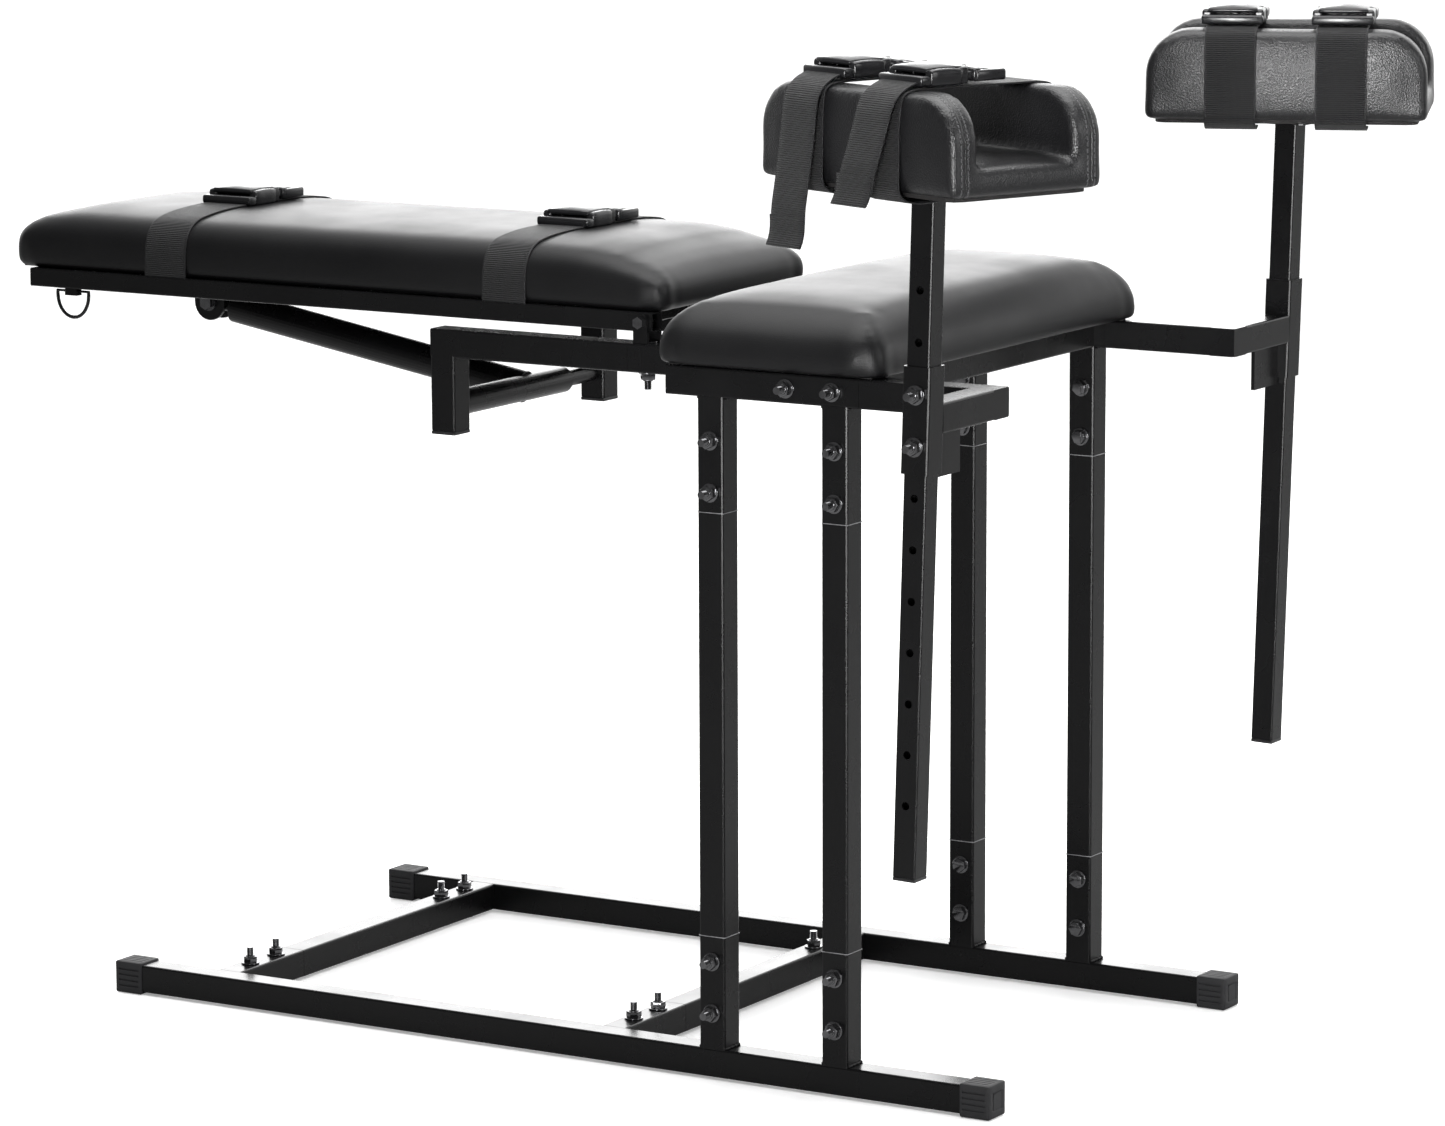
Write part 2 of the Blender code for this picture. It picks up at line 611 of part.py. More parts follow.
def build_arm(side, sign):
    """L-shaped arm plugged into the seat frame, ending in a square clamp for the post."""
    inner = TUBE - 2 * WALL
    y = sign * BASE_HALF
    frame = clamp_frame(sign)
    clamp_face = sign * (POST_HALF_SPAN - TUBE / 2)
    long_part = x_tube(SEAT_HEAD + GAP, ARM_HEAD, y, SEAT_MID_Z)
    cross_part = y_tube(y - sign * TUBE / 2, clamp_face + sign * WALL / 2, CLAMP_STATION,
                        SEAT_MID_Z)
    spigot = x_tube(SEAT_HEAD - SPIGOT_REACH, SEAT_HEAD + 0.02, y, SEAT_MID_Z, SPIGOT, 0.001)
    clamp = move(bar(2, -CLAMP_HALF, CLAMP_HALF, (0, 0)), frame)
    gusset_y = sorted((clamp_face + sign * WALL / 2, clamp_face - sign * GUSSET["reach"]))
    gusset = block((x_of(CLAMP_STATION) - GUSSET["thick"] / 2, gusset_y[0],
                    SEAT_Z - GUSSET["drop"]),
                   (x_of(CLAMP_STATION) + GUSSET["thick"] / 2, gusset_y[1], SEAT_Z + 0.001))
    solids = [long_part, cross_part, spigot, clamp, gusset]
    voids = [x_tube(SEAT_HEAD - SPIGOT_REACH - 0.01, ARM_HEAD - WALL, y, SEAT_MID_Z,
                    SPIGOT - 2 * WALL, 0.0),
             y_tube(y, clamp_face - sign * WALL, CLAMP_STATION, SEAT_MID_Z, inner, 0.0),
             move(bar(2, -CLAMP_HALF - 0.01, CLAMP_HALF + 0.01, (0, 0), inner, 0.0), frame)]
    outer = sign * TUBE / 2
    for level in (-0.5, 0.5):
        z = level * CLAMP_BOLT_PITCH
        hole = cylinder(BOLT_HOLE, (0, outer - sign * 0.006, z), (0, outer + sign * 0.01, z), 12)
        voids.append(move(hole, frame))
    piece(f"cradle_arm_{side}", solids, voids)
    for label, level in (("lower", -0.5), ("upper", 0.5)):
        z = level * CLAMP_BOLT_PITCH
        shank = cylinder(0.0038, (0, outer - sign * (WALL - GAP), z),
                         (0, outer + sign * 0.015, z), 12)
        washer = cylinder(0.0085, (0, outer + sign * GAP, z), (0, outer + sign * 0.002, z), 20)
        nut = cylinder(0.0075, (0, outer + sign * 0.0015, z), (0, outer + sign * 0.0085, z), 6)
        move(piece(f"clamp_bolt_{side}_{label}", [washer, nut, shank], finish=PLATED), frame)


def build_post(side, sign):
    """Square post with adjustment holes, a plate on top and a plug below."""
    frame = clamp_frame(sign)
    low = (POST_BOTTOM - SEAT_MID_Z) / cos(POST_LEAN)
    high = (POST_TOP - SEAT_MID_Z) / cos(POST_LEAN)
    inner = POST - 2 * WALL
    tube = move(bar(2, low, high, (0, 0), POST, 0.0015), frame)
    voids = [move(bar(2, low - 0.01, high + 0.01, (0, 0), inner, 0.0), frame)]
    outer = sign * POST / 2
    for step in POST_HOLE_STEPS:
        z = (step - 0.5) * CLAMP_BOLT_PITCH
        hole = cylinder(POST_HOLE, (0, outer - sign * 0.006, z), (0, outer + sign * 0.006, z), 12)
        voids.append(move(hole, frame))
    tube = piece("post_tube", [tube], voids)
    x = post_top_x()
    y = sign * POST_HALF_SPAN
    plate = block((x - PLATE_SIZE / 2, y - PLATE_SIZE / 2, POST_TOP - 0.0010),
                  (x + PLATE_SIZE / 2, y + PLATE_SIZE / 2, POST_TOP + PLATE), 0.006, 2)
    hole = cylinder(SWIVEL_RADIUS + GAP, (x, y, POST_TOP - 0.01), (x, y, POST_TOP + 0.02), 16)
    piece(f"post_{side}", [tube, plate], [hole])
    bottom = Vector(frame @ Vector((0, 0, low)))
    plug(f"post_plug_{side}", bottom.x + ORIGIN_STATION, bottom.y, bottom.z, POST,
         Matrix.Rotation(POST_LEAN, 4, "Y"))


def post_top_x():
    return x_of(CLAMP_STATION) + (POST_TOP - SEAT_MID_Z) * tan(POST_LEAN)


def build_cradle(side, sign):
    """Gutter-shaped pad on a board that turns on the post, with two straps across it."""
    x, y = post_top_x(), sign * POST_HALF_SPAN
    place = Matrix.Translation((x, y, 0)) @ Matrix.Rotation(sign * CRADLE_SPLAY, 4, "Z")
    half_length, half_width = CRADLE_LENGTH / 2, CRADLE_WIDTH / 2

    outline = block((-half_length, -half_width, CRADLE_LOW),
                    (half_length, half_width, CRADLE_HIGH))
    round_cradle(outline)
    trough_half = half_width - CRADLE_WALL
    trough = block((-half_length - 0.05, -trough_half, CRADLE_FLOOR),
                   (half_length + 0.05, trough_half, CRADLE_HIGH + 0.05), 0.010, 0)
    board = CRADLE_BOARD
    size = (board["length"] / 2, board["width"] / 2)
    pocket = block((-size[0] - GAP, -size[1] - GAP, CRADLE_LOW - 0.02),
                   (size[0] + GAP, size[1] + GAP, board["low"] + BOARD + GAP))
    move(piece(f"cradle_pad_{side}", [outline], [trough, pocket], LEATHER, 40), place)

    panel = block((-size[0], -size[1], board["low"]), (size[0], size[1], board["low"] + BOARD),
                  0.012, 2)
    hole = cylinder(SWIVEL_RADIUS + GAP, (0, 0, board["low"] - 0.01),
                    (0, 0, board["low"] + BOARD - 0.002), 16)
    move(piece(f"cradle_board_{side}", [panel], [hole], PLYWOOD), place)

    nut_top = POST_TOP - 0.0010 - GAP
    shank = cylinder(SWIVEL_RADIUS, (0, 0, nut_top - 0.004),
                     (0, 0, board["low"] + BOARD - 0.002 - GAP), 16)
    nut = cylinder(0.0075, (0, 0, nut_top - 0.0065), (0, 0, nut_top), 6)
    move(piece(f"swivel_bolt_{side}", [shank, nut], finish=PLATED), place)

    reach = half_width + 0.0006
    top = CRADLE_HIGH + 0.0006
    radius = 0.006
    path = [(reach, board["low"])] + arc((reach - radius, top - radius), radius, 0, 90, 5)
    path += [(-y_, z_) for y_, z_ in reversed(path)]
    for end, offset in CRADLE_STRAPS.items():
        at = place @ Matrix.Translation((offset, 0, 0))
        band(f"cradle_strap_{side}_{end}", path, CRADLE_STRAP_WIDTH, at)
        buckle(f"cradle_buckle_{side}_{end}",
               at @ Matrix.Translation((0, -0.030, top + STRAP + 0.0006)))


def round_cradle(outline):
    """Round the upper ends of the side walls, then ease the rim of each outer side."""
    bm = bmesh.new()
    bm.from_mesh(outline.data)
    ends = [e for e in bm.edges if is_along(e, 1) and e.verts[0].co.z > CRADLE_FLOOR]
    bmesh.ops.bevel(bm, geom=ends, offset=CRADLE_END_RADIUS, segments=6, profile=0.5,
                    affect="EDGES", material=-1)
    side = CRADLE_WIDTH / 2 - 0.0005
    rims = [e for e in bm.edges if min(abs(v.co.y) for v in e.verts) > side
            and e.verts[0].co.y * e.verts[1].co.y > 0
            and max(v.co.z for v in e.verts) > CRADLE_LOW + 0.001]
    bmesh.ops.bevel(bm, geom=rims, offset=0.009, segments=2, profile=0.5, affect="EDGES",
                    material=-1)
    bmesh.ops.recalc_face_normals(bm, faces=bm.faces)
    bm.to_mesh(outline.data)
    bm.free()


clear_scene()
PARTS = collection("padded_bench")
build_base()
build_seat()
build_support()
build_prop()
build_back()
build_back_straps()
for side_name, side_sign in SIDES.items():
    build_arm(side_name, side_sign)
    build_post(side_name, side_sign)
    build_cradle(side_name, side_sign)
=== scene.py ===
"""Padded bench with a reclining back and two leg cradles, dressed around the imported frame."""
from math import atan2, cos, pi, radians, sin, sqrt

import bmesh
import bpy
import numpy as np
from mathutils import Matrix, Vector


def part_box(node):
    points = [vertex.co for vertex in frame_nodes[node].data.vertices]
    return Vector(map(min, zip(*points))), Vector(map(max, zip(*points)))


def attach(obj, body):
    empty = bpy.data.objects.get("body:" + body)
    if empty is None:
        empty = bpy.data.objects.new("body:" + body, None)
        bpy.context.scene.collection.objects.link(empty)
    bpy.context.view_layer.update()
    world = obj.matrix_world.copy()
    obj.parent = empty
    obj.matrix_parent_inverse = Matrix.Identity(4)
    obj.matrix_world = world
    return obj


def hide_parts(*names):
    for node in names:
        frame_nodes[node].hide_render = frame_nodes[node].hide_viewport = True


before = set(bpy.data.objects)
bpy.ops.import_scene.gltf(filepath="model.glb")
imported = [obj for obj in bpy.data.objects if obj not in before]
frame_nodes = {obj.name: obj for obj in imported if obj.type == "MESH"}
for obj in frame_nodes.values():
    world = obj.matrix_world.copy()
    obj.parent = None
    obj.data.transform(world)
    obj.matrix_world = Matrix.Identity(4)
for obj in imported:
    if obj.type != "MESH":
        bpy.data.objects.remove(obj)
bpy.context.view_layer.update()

# ---------------------------------------------------------------- camera, floor and light
# A plain white sweep lit by one big soft light overhead and a bright wall behind the bench,
# so that the black coat shows its level faces white and its upright faces nearly black.
CAMERA_AT = (3.33291, -5.37442, 1.551235)
CAMERA_AZIMUTH, CAMERA_DOWN, CAMERA_ROLL = radians(31.0762), radians(9.6681), radians(-0.2027)
CAMERA_LENS = 149.306

camera_data = bpy.data.cameras.new("camera")
camera_data.sensor_width = 36.0
camera_data.lens = CAMERA_LENS
camera = bpy.data.objects.new("camera", camera_data)
bpy.context.scene.collection.objects.link(camera)
camera.matrix_world = (
    Matrix.Translation(CAMERA_AT)
    @ Matrix.Rotation(CAMERA_AZIMUTH, 4, "Z")
    @ Matrix.Rotation(pi / 2 - CAMERA_DOWN, 4, "X")
    @ Matrix.Rotation(CAMERA_ROLL, 4, "Z"))
bpy.context.scene.camera = camera

scene = bpy.context.scene
scene.view_settings.view_transform = "Standard"
scene.view_settings.look = "None"

world = bpy.data.worlds.new("studio")
scene.world = world
world.use_nodes = True
tree = world.node_tree
tree.nodes.clear()
sky_place = tree.nodes.new("ShaderNodeTexCoord")
sky_split = tree.nodes.new("ShaderNodeSeparateXYZ")
tree.links.new(sky_place.outputs["Generated"], sky_split.inputs[0])
# how far a direction points towards the back wall, from -1 to 1
back_x = tree.nodes.new("ShaderNodeMath"); back_x.operation = "MULTIPLY"
back_x.inputs[1].default_value = -0.35
back_y = tree.nodes.new("ShaderNodeMath"); back_y.operation = "MULTIPLY_ADD"
back_y.inputs[1].default_value = 0.93
tree.links.new(sky_split.outputs["X"], back_x.inputs[0])
tree.links.new(sky_split.outputs["Y"], back_y.inputs[0])
tree.links.new(back_x.outputs[0], back_y.inputs[2])
sky_ramp = tree.nodes.new("ShaderNodeMapRange")
sky_ramp.interpolation_type = "SMOOTHSTEP"
sky_ramp.inputs["From Min"].default_value = 0.1
sky_ramp.inputs["From Max"].default_value = 0.9
sky_ramp.inputs["To Min"].default_value = 0.16
sky_ramp.inputs["To Max"].default_value = 2.1
tree.links.new(back_y.outputs[0], sky_ramp.inputs["Value"])
seen = tree.nodes.new("ShaderNodeLightPath")
sky_pick = tree.nodes.new("ShaderNodeMix")
sky_pick.inputs["B"].default_value = 1.0
tree.links.new(seen.outputs["Is Camera Ray"], sky_pick.inputs["Factor"])
tree.links.new(sky_ramp.outputs["Result"], sky_pick.inputs["A"])
sky = tree.nodes.new("ShaderNodeBackground")
sky.inputs["Color"].default_value = (1.0, 1.0, 1.0, 1.0)
tree.links.new(sky_pick.outputs["Result"], sky.inputs["Strength"])
sky_out = tree.nodes.new("ShaderNodeOutputWorld")
tree.links.new(sky.outputs[0], sky_out.inputs[0])

for name, place, aim, size, watts in (
        ("overhead", (0.3, -0.4, 3.4), (0.1, 0.0, 0.4), 3.2, 150.0),
        ("side", (4.2, -0.6, 1.9), (0.3, 0.0, 0.6), 1.8, 42.0),
        ("far_side", (1.55, -3.1, 0.95), (0.50, 0.42, 0.95), 1.5, 7.0),
        ("back", (-2.4, 3.6, 1.6), (0.0, 0.0, 0.7), 2.6, 60.0)):
    lamp_data = bpy.data.lights.new(name, "AREA")
    lamp_data.shape = "SQUARE"
    lamp_data.size = size
    lamp_data.energy = watts
    if name == "far_side":
        lamp_data.spread = radians(22)
    lamp = bpy.data.objects.new(name, lamp_data)
    scene.collection.objects.link(lamp)
    lamp.location = place
    lamp.visible_camera = False
    lamp.rotation_mode = "QUATERNION"
    lamp.rotation_quaternion = (Vector(aim) - Vector(place)).to_track_quat("-Z", "Y")

bm = bmesh.new()
bmesh.ops.create_grid(bm, x_segments=1, y_segments=1, size=60.0)
bmesh.ops.translate(bm, vec=(0, 0, -0.0004), verts=bm.verts)
floor_mesh = bpy.data.meshes.new("floor")
bm.to_mesh(floor_mesh)
bm.free()
floor = bpy.data.objects.new("floor", floor_mesh)
scene.collection.objects.link(floor)
white = bpy.data.materials.new("white_sweep")
white.use_nodes = True
# the sweep is white to look at, but gives only half of that back to the black coat
sweep_seen = white.node_tree.nodes.new("ShaderNodeLightPath")
sweep_tone = white.node_tree.nodes.new("ShaderNodeMix")
sweep_tone.data_type = "RGBA"
sweep_tone.inputs["A"].default_value = (0.45, 0.45, 0.45, 1)
sweep_tone.inputs["B"].default_value = (0.95, 0.95, 0.95, 1)
white.node_tree.links.new(sweep_seen.outputs["Is Camera Ray"], sweep_tone.inputs["Factor"])
white.node_tree.links.new(sweep_tone.outputs["Result"],
                          white.node_tree.nodes["Principled BSDF"].inputs["Base Color"])
sweep_glow = white.node_tree.nodes.new("ShaderNodeMix")
sweep_glow.data_type = "RGBA"
sweep_glow.inputs["A"].default_value = (0.0, 0.0, 0.0, 1)
sweep_glow.inputs["B"].default_value = (1.0, 1.0, 1.0, 1)
white.node_tree.links.new(sweep_seen.outputs["Is Camera Ray"], sweep_glow.inputs["Factor"])
white.node_tree.links.new(sweep_glow.outputs["Result"],
                          white.node_tree.nodes["Principled BSDF"].inputs["Emission Color"])
white.node_tree.nodes["Principled BSDF"].inputs["Emission Strength"].default_value = 0.32
white.node_tree.nodes["Principled BSDF"].inputs["Roughness"].default_value = 0.45
floor.data.materials.append(white)

# ---------------------------------------------------------------- welded tube frame
# Square steel tube, mitred, welded and powder-coated satin black in one colour throughout.
# The coat lies over everything: it has a faint orange peel and holds a little pale dust.
STEEL_COLOUR = (0.0040, 0.0040, 0.0043)
COAT_ROUGHNESS = 0.27
PEEL_SIZE = 0.0011


def node(tree_, kind, values=None, **settings):
    made = tree_.nodes.new(kind)
    for key, value in settings.items():
        setattr(made, key, value)
    for key, value in (values or {}).items():
        if isinstance(value, bpy.types.NodeSocket):
            tree_.links.new(value, made.inputs[key])
        else:
            made.inputs[key].default_value = value
    return made


def maths(tree_, operation, *values):
    """One Math node on numbers or sockets, and its result."""
    return node(tree_, "ShaderNodeMath", dict(enumerate(values)), operation=operation).outputs[0]


def between(tree_, value, low, high, bottom=0.0, top=1.0):
    """A value's place between two others, as a new range."""
    return node(tree_, "ShaderNodeMapRange", {
        "Value": value, "From Min": low, "From Max": high,
        "To Min": bottom, "To Max": top}).outputs[0]


def give(group_end, **results):
    for key, socket in results.items():
        group_end.id_data.links.new(socket, group_end.inputs[key])


def effect(name, inputs, outputs):
    """An empty shader node group with its named sockets, and its two end nodes."""
    group = bpy.data.node_groups.new(name, "ShaderNodeTree")
    for socket, kind, default in inputs:
        made = group.interface.new_socket(name=socket, in_out="INPUT", socket_type=kind)
        if default is not None:
            made.default_value = default
    for socket, kind in outputs:
        group.interface.new_socket(name=socket, in_out="OUTPUT", socket_type=kind)
    return group, group.nodes.new("NodeGroupInput"), group.nodes.new("NodeGroupOutput")


def use(tree_, group, values=None):
    made = node(tree_, "ShaderNodeGroup")
    made.node_tree = group
    for key, value in (values or {}).items():
        if isinstance(value, bpy.types.NodeSocket):
            tree_.links.new(value, made.inputs[key])
        else:
            made.inputs[key].default_value = value
    return made


def finish_material(name, roughness, specular=0.5, metallic=0.0, **sockets):
    """A new material: its tree, its Principled shader and an Object coordinates node."""
    made = bpy.data.materials.new(name)
    made.use_nodes = True
    shader = made.node_tree.nodes["Principled BSDF"]
    shader.inputs["Roughness"].default_value = roughness
    shader.inputs["Specular IOR Level"].default_value = specular
    shader.inputs["Metallic"].default_value = metallic
    for key, value in sockets.items():
        shader.inputs[key.replace("_", " ")].default_value = value
    place = node(made.node_tree, "ShaderNodeTexCoord")
    return made, made.node_tree, shader, place


# faint unevenness of a colour, of the sort every real surface has, with dust where it faces up
uneven, u_in, u_out = effect(
    "uneven_colour",
    [("Place", "NodeSocketVector", None), ("Colour", "NodeSocketColor", (0.1, 0.1, 0.1, 1)),
     ("Variation", "NodeSocketFloat", 0.2), ("Patch", "NodeSocketFloat", 12.0),
     ("Dust", "NodeSocketFloat", 0.0), ("Dust Colour", "NodeSocketColor", (0.3, 0.29, 0.28, 1)),
     ("Roughness", "NodeSocketFloat", 0.4)],
    [("Colour", "NodeSocketColor"), ("Roughness", "NodeSocketFloat")])
patch = node(uneven, "ShaderNodeTexNoise", {
    "Vector": u_in.outputs["Place"], "Scale": u_in.outputs["Patch"],
    "Detail": 4.0, "Roughness": 0.6})
swing = maths(uneven, "SUBTRACT", patch.outputs[0], 0.5)
gain = maths(uneven, "MULTIPLY_ADD", swing, u_in.outputs["Variation"], 1.0)
tint = node(uneven, "ShaderNodeVectorMath", {0: u_in.outputs["Colour"], "Scale": gain},
            operation="SCALE")
facing = node(uneven, "ShaderNodeNewGeometry")
up = node(uneven, "ShaderNodeSeparateXYZ", {0: facing.outputs["Normal"]})
specks = node(uneven, "ShaderNodeTexNoise", {
    "Vector": u_in.outputs["Place"], "Scale": 420.0, "Detail": 6.0, "Roughness": 0.75})
lying = maths(uneven, "MULTIPLY", between(uneven, specks.outputs[0], 0.58, 0.78),
              between(uneven, up.outputs["Z"], 0.35, 1.0))
amount = maths(uneven, "MULTIPLY", lying, u_in.outputs["Dust"])
dusted = node(uneven, "ShaderNodeMix", data_type="RGBA")
uneven.links.new(amount, dusted.inputs["Factor"])
uneven.links.new(tint.outputs[0], dusted.inputs["A"])
uneven.links.new(u_in.outputs["Dust Colour"], dusted.inputs["B"])
rough_sum = maths(uneven, "ADD", maths(uneven, "MULTIPLY", swing, 0.22),
                  u_in.outputs["Roughness"])
give(u_out, Colour=dusted.outputs["Result"],
     Roughness=maths(uneven, "MULTIPLY_ADD", amount, 0.5, rough_sum))

# rounded pits or bumps of one size, as a height
grainy, g_in, g_out = effect(
    "fine_grain",
    [("Place", "NodeSocketVector", None), ("Size", "NodeSocketFloat", 0.001),
     ("Softness", "NodeSocketFloat", 0.5)],
    [("Height", "NodeSocketFloat")])
per_metre = maths(grainy, "DIVIDE", 1.0, g_in.outputs["Size"])
cells = node(grainy, "ShaderNodeTexVoronoi", {"Randomness": 0.95}, feature="SMOOTH_F1")
cells.inputs["Smoothness"].default_value = 0.6
ripple = node(grainy, "ShaderNodeTexNoise", {"Detail": 3.0})
for pattern in (cells, ripple):
    grainy.links.new(g_in.outputs["Place"], pattern.inputs["Vector"])
    grainy.links.new(per_metre, pattern.inputs["Scale"])
grain_mix = node(grainy, "ShaderNodeMix", {
    "Factor": g_in.outputs["Softness"], "A": cells.outputs["Distance"], "B": ripple.outputs[0]})
give(g_out, Height=grain_mix.outputs["Result"])


def surface(name, colour, roughness, grain_size, grain_depth, variation=0.25, patch_size=0.08,
            dust=0.0, softness=0.5, **sockets):
    """A material with uneven colour, dust and a grain, all on Object coordinates."""
    made, tree_, shader, place = finish_material(name, roughness, **sockets)
    tone = use(tree_, uneven, {
        "Place": place.outputs["Object"], "Colour": (*colour, 1), "Variation": variation,
        "Patch": 1.0 / patch_size, "Dust": dust, "Roughness": roughness})
    grain = use(tree_, grainy, {
        "Place": place.outputs["Object"], "Size": grain_size, "Softness": softness})
    bump = node(tree_, "ShaderNodeBump", {
        "Strength": 1.0, "Distance": grain_depth, "Height": grain.outputs["Height"]})
    tree_.links.new(tone.outputs["Colour"], shader.inputs["Base Color"])
    tree_.links.new(tone.outputs["Roughness"], shader.inputs["Roughness"])
    tree_.links.new(bump.outputs["Normal"], shader.inputs["Normal"])
    return made


powder_coat = surface("powder_coat", STEEL_COLOUR, COAT_ROUGHNESS, PEEL_SIZE, 0.00004,
                      variation=0.5, dust=0.03, softness=0.8, specular=0.24)


def dress(names, finish):
    for name in names:
        slots = frame_nodes[name].data.materials
        if len(slots):
            slots[0] = finish
        else:
            slots.append(finish)


STEEL_NODES = [n for n in frame_nodes
               if n.startswith(("base_rail", "leg_tube", "cross_tube", "cradle_arm", "post_"))
               and "plug" not in n]
dress(STEEL_NODES + ["seat_frame", "recline_support", "back_frame", "prop_tube", "prop_spacer"],
      powder_coat)


def new_piece(name, bm, body, finish, smooth=None):
    """Turns a finished bmesh into a piece that rides on a body."""
    mesh = bpy.data.meshes.new(name)
    bm.to_mesh(mesh)
    bm.free()
    made = bpy.data.objects.new(name, mesh)
    scene.collection.objects.link(made)
    mesh.materials.append(finish)
    if smooth is not None:
        mesh.shade_smooth()
        mesh.set_sharp_from_angle(angle=radians(smooth))
    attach(made, body)
    return made


# ---------------------------------------------------------------- welds
# Short hand-laid weld beads where a leg stub stands on its rail and hangs from the seat frame,
# left as a row of overlapping ripples under the coat.
def weld_bead(bm, start, end, radius=0.0021, ripples=10):
    for i in range(ripples):
        share = (i + 0.5) / ripples
        at = Vector(start).lerp(Vector(end), share)
        swell = radius * (1.0 + 0.18 * sin(i * 2.3))
        blob = bmesh.ops.create_icosphere(bm, subdivisions=2, radius=swell)["verts"]
        bmesh.ops.scale(bm, vec=(1.0, 1.0, 0.8), verts=blob)
        bmesh.ops.translate(bm, vec=at, verts=blob)


leg_spots = [(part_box(f"leg_tube_{side}_{end}"), side) for side in ("near", "far")
             for end in ("foot", "head")]
RAIL_TOP, SEAT_UNDER = 0.0325, 0.705
bm = bmesh.new()
for (low, high), side in leg_spots:
    x_mid, y_mid = (low.x + high.x) / 2, (low.y + high.y) / 2
    for x in (low.x, high.x):
        weld_bead(bm, (x, y_mid - 0.013, RAIL_TOP + 0.001), (x, y_mid + 0.013, RAIL_TOP + 0.001))
        weld_bead(bm, (x, y_mid - 0.013, SEAT_UNDER - 0.001),
                  (x, y_mid + 0.013, SEAT_UNDER - 0.001))
for side, sign in (("near", -1), ("far", 1)):
    low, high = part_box(f"cradle_arm_{side}")
    inner_x = high.x - 0.030
    y_in, y_out = sign * 0.2785, sign * 0.3800
    weld_bead(bm, (inner_x, y_in - sign * 0.001, 0.708), (inner_x, y_in - sign * 0.001, 0.732))
    weld_bead(bm, (inner_x, y_out, 0.708), (inner_x, y_out, 0.732))
new_piece("weld_beads", bm, "base", powder_coat, 180)

# ---------------------------------------------------------------- cut tube ends
# Each leg butts against the stubs above and below it. A thin pale ring round both cuts is
# painted highlight: it paints the bright line where light catches the cut edges.
joint_highlight_paint = surface("painted_edge_highlight", (0.30, 0.30, 0.31), 0.35, 0.0008, 0.00002,
                     variation=1.2, patch_size=0.012, metallic=0.6)
STUB = 0.1175
bm = bmesh.new()
for (low, high), side in leg_spots:
    for z in (RAIL_TOP + STUB, SEAT_UNDER - STUB):
        made = bmesh.ops.create_cube(bm, size=1.0)["verts"]
        bmesh.ops.scale(bm, vec=(high.x - low.x + 0.0005, high.y - low.y + 0.0005, 0.0009),
                        verts=made)
        bmesh.ops.translate(bm, vec=((low.x + high.x) / 2, (low.y + high.y) / 2, z), verts=made)
        rims = {e for v in made for e in v.link_edges}
        bmesh.ops.bevel(bm, geom=list(rims), offset=0.0002, segments=1, profile=0.5,
                        affect="EDGES", material=-1)
new_piece("joint_lines", bm, "base", joint_highlight_paint, 40)

# ---------------------------------------------------------------- nuts and bolts
# M8 bolts with flanged lock nuts and thick washers, blackened and oiled so that they shine.
# Two hold each plugged joint: their nuts stand outside, on top or underneath, heads opposite.
bolt_black = surface("black_zinc_hardware", (0.15, 0.15, 0.155), 0.13, 0.0006, 0.00002,
                     variation=0.9, patch_size=0.006, metallic=0.95)


def hex_nut(bm, at, outward, across=0.0140, head=False, turn=0.3, thin=False):
    """Washer with a lock nut and its bolt's end, or with a hexagon head, or a thin flat head."""
    seat = Matrix.Translation(at) @ Vector(outward).to_track_quat("Z", "X").to_matrix().to_4x4()
    seat = seat @ Matrix.Rotation(turn, 4, "Z")

    def ring(radius, low, high, sides, ease=0.0, top_radius=None):
        made = bmesh.ops.create_cone(
            bm, cap_ends=True, segments=sides, radius1=radius, radius2=top_radius or radius,
            depth=high - low, matrix=seat @ Matrix.Translation((0, 0, (low + high) / 2)))
        if ease:
            axis = (seat.to_3x3() @ Vector((0, 0, 1))).normalized()
            rims = {e for v in made["verts"] for e in v.link_edges
                    if abs((e.verts[0].co - e.verts[1].co).normalized().dot(axis)) < 0.2}
            bmesh.ops.bevel(bm, geom=list(rims), offset=ease, segments=2, profile=0.5,
                            affect="EDGES", material=-1)

    ring(0.0098, 0.0, 0.0017, 28, 0.0004)
    flat = across / 2 / cos(pi / 6)
    if thin:
        return
    if head:
        ring(flat, 0.0017, 0.0070, 6, 0.0006)
        return
    ring(flat, 0.0017, 0.0084, 6, 0.0005)
    ring(0.0054, 0.0078, 0.0096, 24, 0.0007)
    for i in range(7):
        ring(0.0040, 0.0092 + i * 0.0013, 0.0099 + i * 0.0013, 16, 0.0, 0.0033)
        ring(0.0033, 0.0098 + i * 0.0013, 0.0106 + i * 0.0013, 16, 0.0, 0.0040)


bm = bmesh.new()
OUTER_FACE, INNER_FACE = 0.2785, 0.2485
turn = 0.0
for (low, high), side in leg_spots:
    sign = -1 if side == "near" else 1
    x_mid = (low.x + high.x) / 2
    for z in (0.070, 0.124, 0.608, 0.661):
        turn += 0.9
        hex_nut(bm, (x_mid, sign * OUTER_FACE, z), (0, sign, 0), turn=turn)
        hex_nut(bm, (x_mid, sign * INNER_FACE, z), (0, -sign, 0), head=True, turn=turn * 1.7)
for end in ("foot", "head"):
    low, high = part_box(f"cross_tube_{end}")
    x_mid = (low.x + high.x) / 2
    for sign in (-1, 1):
        for inset in (0.038, 0.086):
            turn += 0.9
            y = sign * (INNER_FACE - inset)
            hex_nut(bm, (x_mid, y, high.z), (0, 0, 1), turn=turn)
            hex_nut(bm, (x_mid, y, low.z), (0, 0, -1), thin=True, turn=turn * 1.3)
seat_low, seat_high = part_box("seat_frame")
for sign in (-1, 1):
    for back in (0.0303, 0.0833):
        turn += 0.9
        hex_nut(bm, (seat_high.x - back, sign * OUTER_FACE, 0.720), (0, sign, 0), turn=turn)
        hex_nut(bm, (seat_high.x - back, sign * INNER_FACE, 0.720), (0, -sign, 0), head=True,
                turn=turn * 1.3)
support_low, support_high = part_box("recline_support")
